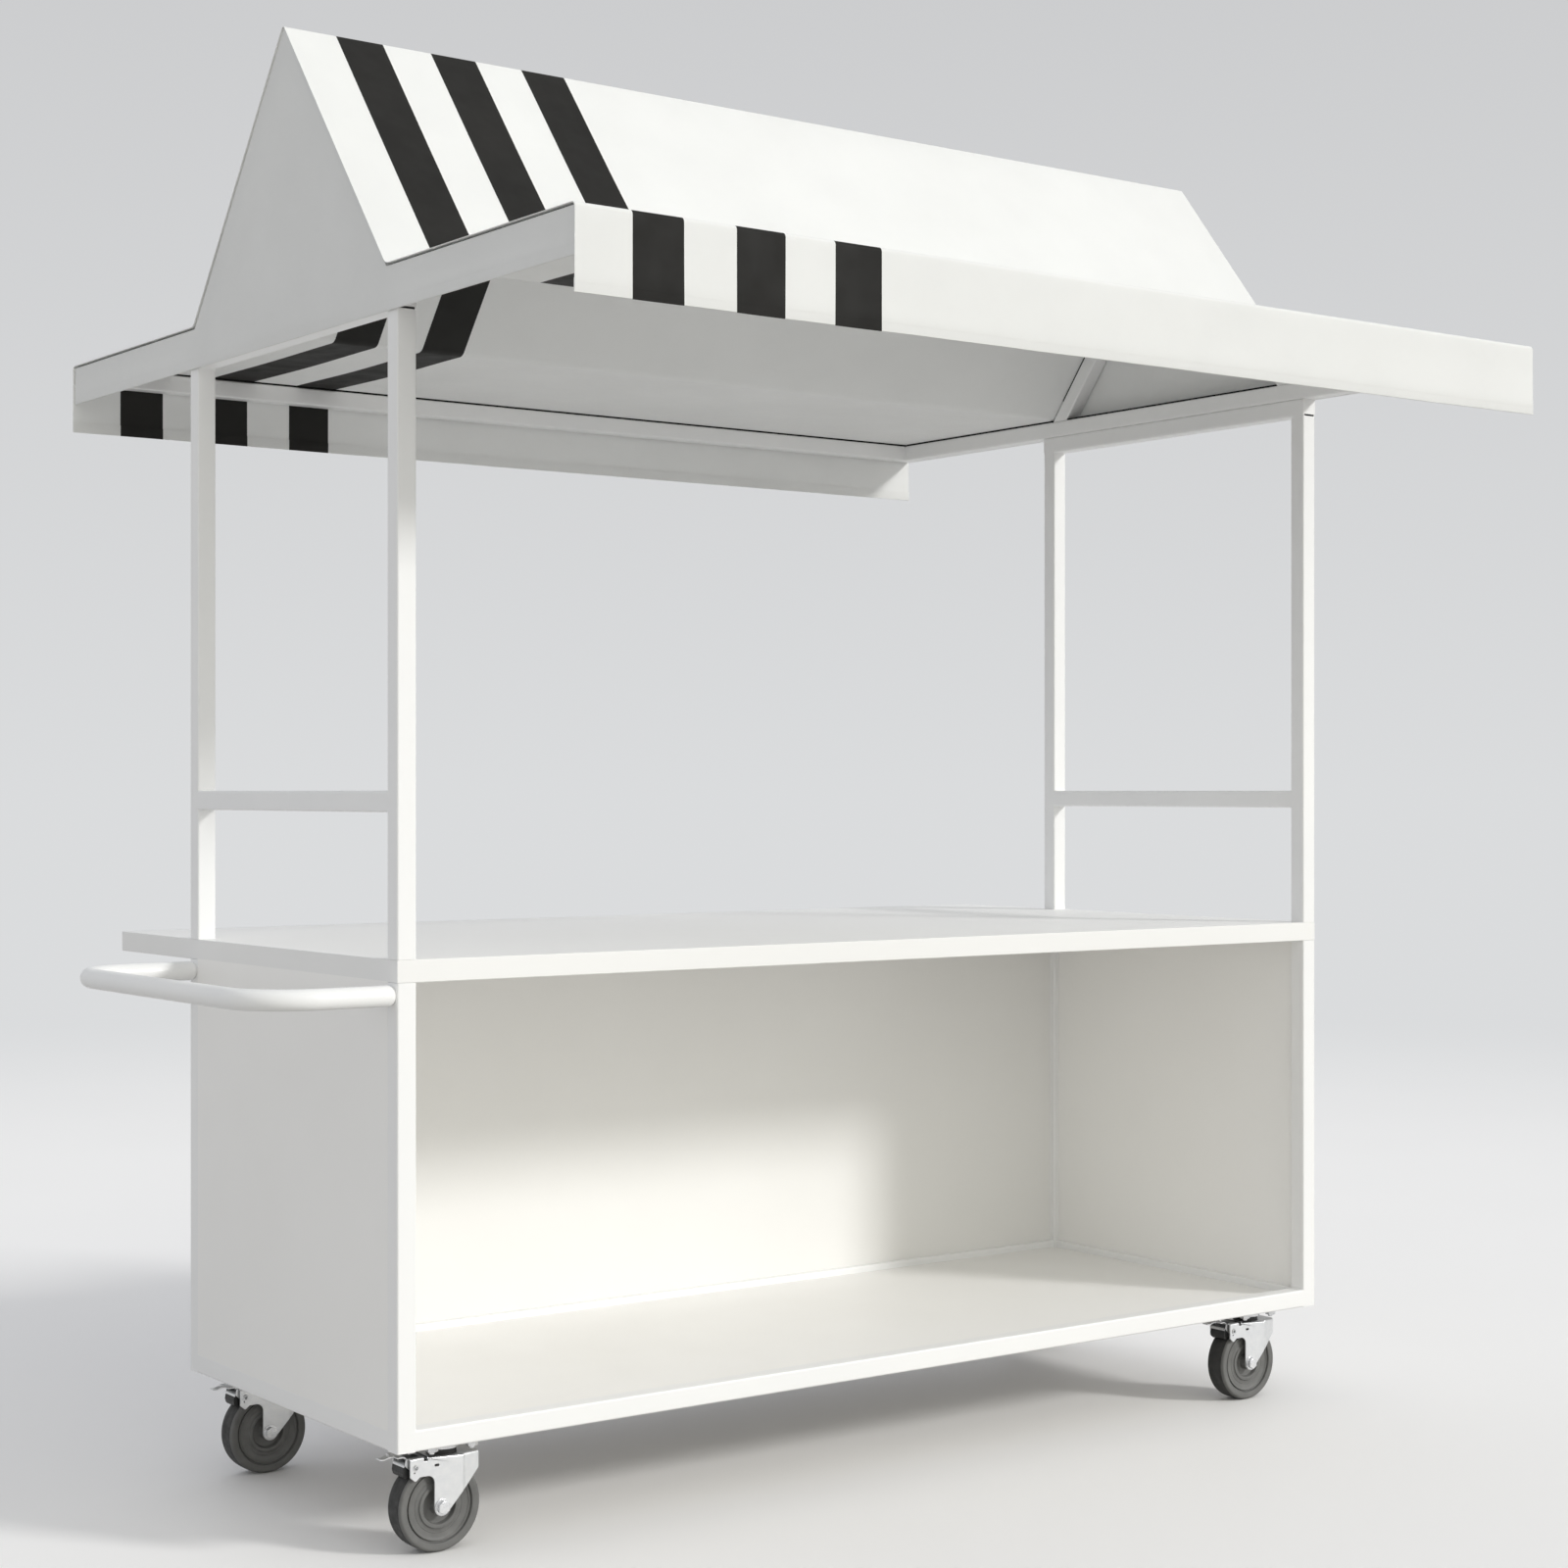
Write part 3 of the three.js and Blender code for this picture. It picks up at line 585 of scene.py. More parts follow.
def add(tree, kind, **settings):
    node = tree.nodes.new(kind)
    for key, value in settings.items():
        setattr(node, key, value)
    return node


def fill(node, **values):
    for key, value in values.items():
        node.inputs[key.replace("_", " ")].default_value = value
    return node


def link(tree, source, target):
    tree.links.new(source, target)


def math_step(tree, operation, *values):
    """Result of one step of arithmetic on sockets and numbers."""
    node = add(tree, "ShaderNodeMath", operation=operation)
    for socket, value in zip(node.inputs, values):
        if isinstance(value, (int, float)):
            socket.default_value = value
        else:
            link(tree, value, socket)
    return node.outputs[0]


def noise(tree, source, scale, detail=2.0, stretch=None):
    if stretch:
        mapping = fill(add(tree, "ShaderNodeMapping"), Scale=stretch)
        link(tree, source, mapping.inputs["Vector"])
        source = mapping.outputs["Vector"]
    node = fill(add(tree, "ShaderNodeTexNoise"), Scale=scale, Detail=detail)
    link(tree, source, node.inputs["Vector"])
    return node.outputs["Fac"]


def spread(tree, value, low, high, start=0.35, end=0.65, **settings):
    node = add(tree, "ShaderNodeMapRange", **settings)
    fill(node, From_Min=start, From_Max=end, To_Min=low, To_Max=high)
    link(tree, value, node.inputs["Value"])
    return node.outputs["Result"]


def mixed(tree, share, low, high):
    """Colour between two, by a share."""
    node = add(tree, "ShaderNodeMix", data_type='RGBA')
    node.inputs["A"].default_value = low
    node.inputs["B"].default_value = high
    link(tree, share, node.inputs["Factor"])
    return node.outputs["Result"]


def mixed_shader(tree, share, first, second, surface):
    node = add(tree, "ShaderNodeMixShader")
    for socket, value in zip(node.inputs, (share, first, second)):
        link(tree, value, socket)
    link(tree, node.outputs[0], surface)


def ramp_between(tree, value, low, high, start, end):
    """Colour that runs from one to another between two values."""
    ramp = add(tree, "ShaderNodeValToRGB")
    for stop, position, colour in zip(ramp.color_ramp.elements, (start, end), (low, high)):
        stop.position = position
        stop.color = colour
    link(tree, value, ramp.inputs["Fac"])
    return ramp.outputs["Color"]


def tint(tree, shader, value, dark, light, start=0.3, end=0.7):
    colour = ramp_between(tree, value, (*dark, 1), (*light, 1), start, end)
    link(tree, colour, shader.inputs["Base Color"])


def roughen(tree, shader, value, low, high):
    link(tree, spread(tree, value, low, high), shader.inputs["Roughness"])


def relief(tree, shader, heights):
    """Stacks bumps from (height, strength, depth) on each other."""
    normal = None
    for height, strength, depth in heights:
        bump = fill(add(tree, "ShaderNodeBump"), Strength=strength, Distance=depth)
        link(tree, height, bump.inputs["Height"])
        if normal:
            link(tree, normal, bump.inputs["Normal"])
        normal = bump.outputs["Normal"]
    link(tree, normal, shader.inputs["Normal"])


def powder_coat():
    material, tree, shader, place = new_material("white_powder_coat", 0.38)
    tint(tree, shader, noise(tree, place, 3, 3), (0.885, 0.888, 0.89), (0.915, 0.915, 0.91))
    roughen(tree, shader, noise(tree, place, 60, 3), 0.34, 0.46)
    peel = noise(tree, place, 420, 1)
    speck = noise(tree, place, 2400, 2)
    relief(tree, shader, [(peel, 0.25, 0.15 * MM), (speck, 0.15, 0.03 * MM)])
    return material


def laminate_board(name, dark, light):
    material, tree, shader, place = new_material(name, 0.42)
    tint(tree, shader, noise(tree, place, 2.2, 4), dark, light)
    roughen(tree, shader, noise(tree, place, 14, 5), 0.38, 0.5)
    pearl = noise(tree, place, 900, 3)
    wave = noise(tree, place, 5, 1)
    relief(tree, shader, [(pearl, 0.2, 0.05 * MM), (wave, 0.1, 1.5 * MM)])
    return material


def counter_laminate(name, dark, light):
    material, tree, shader, place = new_material(name, 0.45, specular=0.15)
    tint(tree, shader, noise(tree, place, 1.6, 4), dark, light)
    wiped = noise(tree, place, 7, 6, stretch=(1, 2, 1))
    roughen(tree, shader, wiped, 0.4, 0.52)
    pearl = noise(tree, place, 700, 3)
    relief(tree, shader, [(pearl, 0.12, 0.04 * MM)])
    return material


def stitches(tree, across, lengthwise, seam):
    """Height of a line sewn where one way equals the seam, with its threads along the other way."""
    away = math_step(tree, 'SUBTRACT', across, seam)
    line = math_step(tree, 'COMPARE', away, 0, seam_half)
    wave = math_step(tree, 'PINGPONG', lengthwise, stitch_half)
    thread = math_step(tree, 'GREATER_THAN', wave, stitch_gap)
    return math_step(tree, 'MULTIPLY', line, thread)


def woven(tree, flat, pitch):
    """Plain weave: two thread waves multiplied together."""
    waves = []
    for way in ('X', 'Y'):
        wave = add(tree, "ShaderNodeTexWave", wave_type='BANDS', bands_direction=way)
        fill(wave, Scale=math.pi / 10 / pitch, Distortion=0.4, Detail=1.0)
        link(tree, flat, wave.inputs["Vector"])
        waves.append(wave.outputs["Fac"])
    return math_step(tree, 'MULTIPLY', *waves)


def awning_cloth(name, dark, light, seam_across, seam_along):
    material, tree, shader, place = new_material(name, 0.7, specular=0.06)
    shader.inputs["Transmission Weight"].default_value = cloth_glow_share
    flat = add(tree, "ShaderNodeUVMap", uv_map="flat").outputs["UV"]
    tint(tree, shader, noise(tree, place, 6, 5), dark, light)
    roughen(tree, shader, noise(tree, place, 25, 4), 0.6, 0.74)
    parts = add(tree, "ShaderNodeSeparateXYZ")
    link(tree, flat, parts.inputs["Vector"])
    x, y = (math_step(tree, 'ABSOLUTE', parts.outputs[i]) for i in (0, 1))
    relief(tree, shader, [
        (woven(tree, flat, weave_pitch), 0.3, 0.12 * MM),
        (noise(tree, place, 12, 3), 0.12, 1.5 * MM),
        (stitches(tree, x, y, seam_across), 0.5, 0.4 * MM),
        (stitches(tree, y, x, seam_along), 0.5, 0.4 * MM),
    ])
    return material


def zinc_plate(name, dark, light, roughness):
    material, tree, shader, place = new_material(name, roughness, metallic=0.9)
    tint(tree, shader, noise(tree, place, 90, 4), dark, light)
    rolled = noise(tree, place, 700, 3, stretch=(0.12, 1, 1))
    roughen(tree, shader, rolled, roughness - 0.06, roughness + 0.1)
    pressed = noise(tree, place, 130, 2)
    relief(tree, shader, [(rolled, 0.12, 0.03 * MM), (pressed, 0.12, 0.15 * MM)])
    return material


def tyre_rubber(name, dark, light):
    material, tree, shader, place = new_material(name, 0.62, specular=0.35)
    tint(tree, shader, noise(tree, place, 45, 5), dark, light)
    roughen(tree, shader, noise(tree, place, 120, 4), 0.52, 0.74)
    grain = noise(tree, place, 1500, 3)
    scuffs = noise(tree, place, 260, 4, stretch=(1, 0.3, 1))
    relief(tree, shader, [(grain, 0.3, 0.06 * MM), (scuffs, 0.15, 0.15 * MM)])
    return material


def moulded_plastic(name, dark, light, roughness):
    material, tree, shader, place = new_material(name, roughness)
    tint(tree, shader, noise(tree, place, 50, 4), dark, light)
    roughen(tree, shader, noise(tree, place, 200, 3), roughness - 0.06, roughness + 0.08)
    grain = noise(tree, place, 1800, 2)
    relief(tree, shader, [(grain, 0.2, 0.05 * MM)])
    return material


# Black tape: a dark strip that stands in as painted shade for the gap between frame and cloth
def shade_gap_tape():
    material, tree, shader, place = new_material("black_shade_gap_tape", 0.9, specular=0.2)
    tint(tree, shader, noise(tree, place, 300, 3), (0.006, 0.006, 0.006), (0.018, 0.017, 0.016))
    loops = noise(tree, place, 1400, 3)
    relief(tree, shader, [(loops, 0.8, 0.4 * MM)])
    return material


paint = powder_coat()
board_face = laminate_board("white_laminate", (0.93, 0.92, 0.9), (0.952, 0.945, 0.927))
# The back board is the same white laminate as the other boards in a darker tone: painted shade that holds
# down the bright sunlit patch on it
darkened_back_face = laminate_board("back_laminate_darkened_for_sun", (0.868, 0.86, 0.84), (0.892, 0.885, 0.866))
# The counter is one laminate, but its top gets a lighter tone than its sides: painted light that makes up
# for the canopy's shade over the top
lightened_counter_face = counter_laminate("counter_laminate", (0.95, 0.948, 0.937), (0.965, 0.963, 0.955))
counter_side_face = counter_laminate("counter_side_laminate", (0.87, 0.868, 0.858), (0.89, 0.888, 0.88))
bright_zinc = zinc_plate("bright_zinc", (0.7, 0.71, 0.72), (0.76, 0.765, 0.765), 0.36)
bolt_zinc = zinc_plate("bolt_zinc", (0.66, 0.67, 0.69), (0.8, 0.8, 0.8), 0.28)
side_rubber = tyre_rubber("grey_side_rubber", (0.138, 0.138, 0.135), (0.17, 0.17, 0.166))
# The tread is darker than the sidewall: partly a darker running compound, partly painted shade, since the
# tread faces down and away from the light
shaded_tread_rubber = tyre_rubber("dark_shaded_tread_rubber", (0.04, 0.04, 0.04), (0.056, 0.056, 0.055))
hub_plastic = moulded_plastic("grey_hub_plastic", (0.125, 0.125, 0.122), (0.165, 0.165, 0.16), 0.46)
shoe_plastic = moulded_plastic("black_shoe_plastic", (0.012, 0.012, 0.012), (0.022, 0.022, 0.022), 0.5)
shade_gap_tape_face = shade_gap_tape()


# Frame

def painted(piece, *nodes):
    return hand_over(piece, paint, "root", "frame_paint", *nodes)


def turn_corners(tube, way):
    """Rounds the tube's lengthwise corners and leaves it in edit mode."""
    start_edit(tube)
    pick('EDGE', lambda middle, edge: abs(edge.dot(way)) > straight_share)
    bpy.ops.mesh.bevel(offset=tube_corner, segments=corner_steps, affect='EDGES')


def square_tube(node, reach_low=0.0, reach_high=0.0, hollow=True):
    lo, hi = (Vector(corner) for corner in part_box(node))
    axis = max((X, Y, Z), key=lambda i: hi[i] - lo[i])
    lo[axis] -= reach_low
    hi[axis] += reach_high
    tube = block(node + "_tube", lo, hi)
    turn_corners(tube, along(axis, 1))
    if hollow:
        for end in (-1, 1):
            pick('FACE', lambda middle, normal: normal[axis] * end > straight_share)
            bpy.ops.mesh.inset(thickness=tube_wall)
            inward = along(axis, -end * bore_depth)
            bpy.ops.mesh.extrude_region_move(TRANSFORM_OT_translate={"value": inward})
    end_edit()
    smooth(tube)
    return painted(tube, node)


def make_frame():
    for side, end in corners:
        square_tube(f"lower_post_{side}_{end}", hollow=False)
        square_tube(f"upper_post_{side}_{end}", reach_high=tube_corner)
    for end in ends:
        for level in ("bottom", "mid"):
            square_tube(f"{level}_rail_{end}", tube_corner, tube_corner)
        square_tube(f"top_rail_{end}", hollow=False)
        square_tube(f"canopy_beam_{end}", tube_corner, tube_corner)
    for side in ("front", "rear"):
        square_tube(f"bottom_rail_{side}", tube_corner, tube_corner)
        square_tube(f"canopy_rail_{side}")
    square_tube("ridge_pole")


def weld_beads(name, runs):
    """One rippled bead along each run from start to end."""
    line = bpy.data.curves.new(name, 'CURVE')
    line.dimensions = '3D'
    line.bevel_depth = bead_radius
    line.bevel_resolution = bead_resolution
    line.use_fill_caps = True
    for start, end in runs:
        start, end = Vector(start), Vector(end)
        count = max(3, round((end - start).length / bead_pitch) * 2)
        spline = line.splines.new('POLY')
        spline.points.add(count)
        for k, point in enumerate(spline.points):
            point.co = (*start.lerp(end, k / count), 1)
            share = bead_tip_share if k in (0, count) else 1
            point.radius = share * (1 - bead_ripple_share * (k % 2))
    bead = bpy.data.objects.new(name, line)
    bpy.context.collection.objects.link(bead)
    take(bead)
    bpy.ops.object.convert(target='MESH')
    bead = named(name)
    smooth(bead, bead_smooth_angle, weighted=False)
    return painted(bead)


def make_welds():
    inset = tube_corner
    rails = []
    for end in ends:
        lo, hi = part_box(f"mid_rail_{end}")
        for y in (lo.y, hi.y):
            for z in (lo.z, hi.z):
                rails.append(((lo.x + inset, y, z), (hi.x - inset, y, z)))
        post_lo, post_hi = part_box(f"upper_post_front_{end}")
        for y in (post_hi.y, -post_hi.y):
            rails.append(((post_lo.x + inset, y, post_hi.z), (post_hi.x - inset, y, post_hi.z)))
    weld_beads("post_welds", rails)

    canopy = []
    for end in ends:
        lo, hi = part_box(f"canopy_beam_{end}")
        inner = hi.x if end == "left" else lo.x
        for y in (lo.y, hi.y):
            canopy.append(((inner, y, lo.z + inset), (inner, y, hi.z - inset)))
        rafter_lo, rafter_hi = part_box(f"rafter_pair_{end}")
        for y in (rafter_lo.y, rafter_hi.y):
            canopy.append(((lo.x + inset, y, hi.z), (hi.x - inset, y, hi.z)))
        pole_lo, pole_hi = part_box("ridge_pole")
        canopy.append(((inner, pole_lo.y + inset, pole_lo.z), (inner, pole_hi.y - inset, pole_lo.z)))
    weld_beads("canopy_frame_welds", canopy)

    base = []
    for side in ("front", "rear"):
        lo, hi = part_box(f"bottom_rail_{side}")
        for x in (lo.x, hi.x):
            base.append(((x, lo.y + inset, hi.z), (x, hi.y - inset, hi.z)))
    weld_beads("base_frame_welds", base)


def make_handle():
    lo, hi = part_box("push_handle")
    radius = (hi.z - lo.z) / 2
    z = (lo.z + hi.z) / 2
    arm = hi.y - radius
    bend_x = lo.x + radius + handle_bend
    bend_y = arm - handle_bend
    neck = hi.x - handle_neck
    drop_selection()
    turn = (0, math.pi / 2, 0)
    bpy.ops.mesh.primitive_circle_add(vertices=handle_sides, radius=radius * handle_neck_share,
                                      fill_type='NOTHING', location=(hi.x, -arm, z), rotation=turn)
    handle = settle(named("push_handle_tube"))
    start_edit(handle)
    pick_all()

    def draw(length, y, widen=1.0):
        bpy.ops.mesh.extrude_edges_move(TRANSFORM_OT_translate={"value": (length, 0, 0)})
        bpy.ops.transform.resize(value=(1, widen, widen), center_override=(0, y, z))

    def bend(y):
        bpy.ops.mesh.spin(steps=handle_bend_steps, angle=math.pi / 2, center=(bend_x, y, z), axis=(0, 0, 1))

    full = 1 / handle_neck_share
    most = 1 + (full - 1) * handle_swell_share
    draw(-handle_neck / 2, -arm, most)
    draw(-handle_neck / 2, -arm, full / most)
    draw(bend_x - neck, -arm)
    bend(-bend_y)
    bpy.ops.mesh.extrude_edges_move(TRANSFORM_OT_translate={"value": (0, 2 * bend_y, 0)})
    bend(bend_y)
    draw(neck - bend_x, arm)
    draw(handle_neck / 2, arm, most / full)
    draw(handle_neck / 2, arm, 1 / most)
    pick_all()
    bpy.ops.mesh.remove_doubles(threshold=merge_reach)
    pick_none()
    bpy.ops.mesh.select_mode(type='EDGE')
    bpy.ops.mesh.select_non_manifold()
    bpy.ops.mesh.edge_face_add()
    end_edit(turn_out=True)
    smooth(handle, weighted=False)
    painted(handle, "push_handle")


# Boards

def make_board(node, material, slot, edge, lap=(0, 0, 0)):
    lo, hi = (Vector(corner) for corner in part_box(node))
    board = block(node + "_board", lo - Vector(lap), hi + Vector(lap))
    round_edges(board, edge, board_edge_steps)
    smooth(board)
    return hand_over(board, material, "root", slot, node)


def make_boards():
    lap = board_lap
    make_board("floor_panel", board_face, "white_board", board_edge)
    make_board("left_panel", board_face, "white_board", board_edge, (0, lap, lap))
    make_board("right_panel", board_face, "white_board", board_edge, (0, lap, lap))
    # Back board in the darker tone: painted shade against its sunlit patch
    make_board("back_panel", darkened_back_face, "white_board", board_edge, (lap, 0, lap))
    counter = make_board("countertop", lightened_counter_face, "counter_board", counter_edge)
    # Top and bottom faces take the lighter tone and the sides the darker one: painted light for the
    # canopy's shade over the top
    counter.data.materials.append(counter_side_face)
    for polygon in counter.data.polygons:
        polygon.material_index = int(abs(polygon.normal.z) < 0.5)


# Canopy

def both_sides(back, top):
    """Corners from the front through the top to the back, alike on both sides."""
    return [(-across, up, radius) for across, up, radius in reversed(back)] + [top] + back


def finely(points):
    """The same line with points no further apart than a cloth step."""
    fine = [points[0]]
    for start, end in zip(points, points[1:]):
        steps = max(1, math.ceil((end - start).length / cloth_step))
        fine += [start.lerp(end, k / steps) for k in range(1, steps + 1)]
    return fine


def canopy_stations():
    """Points of the cloth's section from hem to hem, each with its length along the cloth."""
    half = cover_hi.y
    bottom = brim - flap_height
    turn = cloth_thickness + hem_gap / 2
    back = [(slope_half, brim, foot_fold), (half, brim, brim_fold), (half, bottom + turn, 0)]
    path = rounded_path(both_sides(back, (0, peak, ridge_fold)), fold_steps)
    hem = []
    for k in range(1, hem_steps + 1):
        angle = math.pi * k / hem_steps
        hem.append(Vector((half - turn + turn * math.cos(angle), bottom + turn - turn * math.sin(angle))))
    hem.append(Vector((half - 2 * turn, bottom + hem_height)))
    front = [Vector((-point.x, point.y)) for point in reversed(hem)]
    points = finely(front + path + hem)
    lengths = [0]
    for start, end in zip(points, points[1:]):
        lengths.append(lengths[-1] + (end - start).length)
    return points, lengths


def band_edges():
    starts = [cover_lo.x + first_band + i * band_pitch for i in range(band_count)]
    return [(start, start + band_width) for start in starts]


def cloth_columns():
    marks = [cover_lo.x, *(x for pair in band_edges() for x in pair), cover_hi.x]
    return [point.x for point in finely([Vector((x, 0)) for x in marks])]


def slack(point, x):
    """How far the cloth lies from its drawn-tight place, in Y and Z."""
    share = max(0.0, 1 - ((x - middle_x) / beam_reach) ** 2)
    side = math.copysign(1, point.x)
    away = abs(point.x)
    if point.y < brim - brim_fold:
        depth_share = (brim - brim_fold - point.y) / (flap_height - brim_fold)
        turn = 2 * math.pi * x / ripple_length
        wave = math.sin(turn + side) + fine_ripple_share * math.sin(fine_ripple_rate * turn)
        return Vector((side * flap_ripple * depth_share ** 2 * wave, 0))
    if away > slope_half:
        across = (away - slope_half) / (cover_hi.y - slope_half)
        return Vector((0, -brim_sag * math.sin(math.pi * across) ** 2 * share))
    across = away / slope_half
    inward = Vector((-side * math.sin(slope), -math.cos(slope)))
    return inward * slope_sag * math.sin(math.pi * across) ** 2 * share


def sheet_piece(name, rows, flats, thickness, tags=None):
    """Sheet through rows of points, with its flat lie as UV, given its thickness inwards."""
    count = len(rows[0])
    verts = [point for row in rows for point in row]
    faces = []
    for j in range(len(rows) - 1):
        for i in range(count - 1):
            first = j * count + i
            faces.append((first, first + 1, first + count + 1, first + count))
    mesh = bpy.data.meshes.new(name)
    mesh.from_pydata(verts, [], faces)
    lie = mesh.uv_layers.new(name="flat")
    places = [place for row in flats for place in row]
    for loop in mesh.loops:
        lie.data[loop.index].uv = places[loop.vertex_index]
    piece = bpy.data.objects.new(name, mesh)
    bpy.context.collection.objects.link(piece)
    if tags:
        for polygon in mesh.polygons:
            polygon.material_index = tags(polygon)
    use_modifier(piece, 'SOLIDIFY', thickness=thickness, offset=-1, use_even_offset=True)
    smooth(piece, cloth_smooth_angle, weighted=False)
    return piece


def make_cover():
    points, lengths = canopy_stations()
    columns = cloth_columns()
    rows = [[Vector((x, *(point + slack(point, x)))) for x in columns] for point in points]
    flats = [[(x - middle_x, length - lengths[-1] / 2) for x in columns] for length in lengths]
    bands = band_edges()

    def tag(polygon):
        return int(any(start < polygon.center.x < end for start, end in bands))

    cover = sheet_piece("canopy_cover_cloth", rows, flats, cloth_thickness, tag)
    length = cover_hi.x - cover_lo.x
    seams = length / 2 - hem_seam, lengths[-1] / 2 - cover_seam
    cover.data.materials.append(awning_cloth("white_awning_cloth", *white_cloth_tones, *seams))
    cover.data.materials.append(awning_cloth("black_awning_cloth", *black_cloth_tones, *seams))
    hand_over(cover, None, "root", "white_cloth",
              "canopy_cover", "canopy_band_1", "canopy_band_2", "canopy_band_3")
    return cover


def make_gable(end, outward):
    """Gable cloth: a band along the brim's height with the roof's triangle over it."""
    box_lo, box_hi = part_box(f"end_panel_{end}")
    seat = brim_over_rail
    top_seat = gable_slope_seat / math.cos(slope)
    half = cover_hi.y - seat
    foot = slope_half - gable_foot_inset
    back = [
        (foot, brim - seat + gable_foot_rise, 0),
        (foot + seat / math.tan(slope), brim - seat, 0),
        (half, brim - seat, 0),
    ]
    outline = rounded_path(both_sides(back, (0, peak - top_seat, ridge_fold)), fold_steps)
    tops = finely(outline)
    bottom = box_lo.z
    turn = gable_thickness + hem_gap / 2
    plane = box_hi.x if outward > 0 else box_lo.x
    hem = [(2 * turn, hem_height)]
    for k in range(hem_steps + 1):
        way = math.pi * k / hem_steps
        hem.append((turn + turn * math.cos(way), turn - turn * math.sin(way)))
    rows = []
    flats = []
    for inward, up in hem:
        rows.append([Vector((plane - outward * inward, top.x, bottom + up)) for top in tops])
        flats.append([(top.x, up) for top in tops])
    for k in range(1, gable_rows + 1):
        share = k / gable_rows
        row = []
        for top in tops:
            z = bottom + turn + (top.y - bottom - turn) * share
            room = max(0.0, (top.y - bottom) / (peak - bottom))
            wave = 1 - gable_wave_share * (1 - math.cos(gable_wave_rate * top.x))
            give = gable_sag * math.sin(math.pi * share) * room ** 0.5 * wave
            row.append(Vector((plane - outward * give, top.x, z)))
        rows.append(row)
        flats.append([(top.x, vert.z - bottom) for top, vert in zip(tops, row)])
    if outward < 0:
        rows = [list(reversed(row)) for row in rows]
        flats = [list(reversed(row)) for row in flats]
    gable = sheet_piece(f"gable_cloth_{end}", rows, flats, gable_thickness)
    cloth = awning_cloth(f"gable_cloth_{end}", *white_cloth_tones, half - hem_seam, hem_seam)
    return hand_over(gable, cloth, "root", "white_cloth", f"end_panel_{end}")


def make_canopy():
    cover = make_cover()
    for end, outward in (("left", -1), ("right", 1)):
        gable = make_gable(end, outward)


def finish_tape(name, strips):
    tape = joined(name, strips)
    round_edges(tape, tape_edge)
    smooth(tape)
    hand_over(tape, shade_gap_tape_face, "root", "black_cloth")


def make_rafters():
    up_slope = Vector((0, math.cos(slope), math.sin(slope)))
    out = Vector((0, -math.sin(slope), math.cos(slope)))
    foot = Vector((0, -slope_half, brim))
    length = slope_half / math.cos(slope)
    for end in ends:
        box_lo, box_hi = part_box(f"rafter_pair_{end}")
        width = box_hi.x - box_lo.x
        centre_x = (box_lo.x + box_hi.x) / 2
        centre = foot + up_slope * length / 2 - out * (rafter_drop + width / 2)
        rafter = turned_cube(f"rafter_pair_{end}_tube", (centre_x, centre.y, centre.z),
                             (width, length * rafter_overlong, width), (slope, 0, 0))
        turn_corners(rafter, up_slope)
        for place, normal, fill_cut in (
            ((0, 0, box_lo.z), (0, 0, -1), True),
            ((0, 0, box_hi.z), (0, 0, 1), True),
            ((0, 0, 0), (0, 1, 0), False),
        ):
            pick_all()
            bpy.ops.mesh.bisect(plane_co=place, plane_no=normal, clear_outer=True, use_fill=fill_cut)
        end_edit()
        use_modifier(rafter, 'MIRROR', use_axis=(False, True, False), merge_threshold=merge_reach)
        smooth(rafter)
        painted(rafter, f"rafter_pair_{end}")

        strips = []
        middle = foot + up_slope * length / 2 + out * (tape_thickness / 2 - rafter_drop)
        size = (width - 2 * tape_inset, length - rafter_tape_clear, tape_thickness)
        for side in (-1, 1):
            place = (centre_x, -side * middle.y, middle.z)
            strips.append(turned_cube(f"strip_{side}", place, size, (-side * slope, 0, 0)))
        finish_tape(f"rafter_tape_{end}", strips)


def make_tapes():
    """Black tape on the top faces of the canopy's rails and beams: a dark strip put in as painted shade for
    the gap under the cloth.
    """
    for node in ("canopy_rail_front", "canopy_rail_rear", "canopy_beam_left", "canopy_beam_right"):
        lo, hi = (Vector(corner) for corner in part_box(node))
        axis = X if hi.x - lo.x > hi.y - lo.y else Y
        pieces = []
        for start, end in tape_runs(node, axis, lo, hi):
            low = Vector((lo.x + tape_inset, lo.y + tape_inset, hi.z))
            high = Vector((hi.x - tape_inset, hi.y - tape_inset, hi.z + tape_thickness))
            low[axis], high[axis] = start, end
            pieces.append(block(node + "_strip", low, high))
        finish_tape(node + "_tape", pieces)


def tape_runs(node, axis, lo, hi):
    """Where the tape runs along a rail, and along a beam, clear of its rafters."""
    if axis == X:
        return [(lo.x + tape_inset, hi.x - tape_inset)]
    rafter_lo, rafter_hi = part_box(node.replace("canopy_beam", "rafter_pair"))
    inner = 2 * slope_half - rafter_hi.y - tape_foot_clear
    return [
        (lo.y + tape_clear, rafter_lo.y - tape_clear),
        (-inner, inner),
        (rafter_hi.y + tape_clear, hi.y - tape_clear),
    ]


# Casters, modelled about their axle and copied

def tyre_master():
    half = [(wheel_radius - drop * MM, level * MM) for drop, level in tyre_section]
    tyre = wheel_ring("tyre_master", half)
    tyre.data.materials.append(side_rubber)
    tyre.data.materials.append(shaded_tread_rubber)
    # Faces on the running band take the darker tread tone, which is partly painted shade
    for polygon in tyre.data.polygons:
        centre = polygon.center
        on_tread = math.hypot(centre.x, centre.z) > tread_inner and abs(centre.y) < tread_half
        polygon.material_index = int(on_tread)
    return tyre


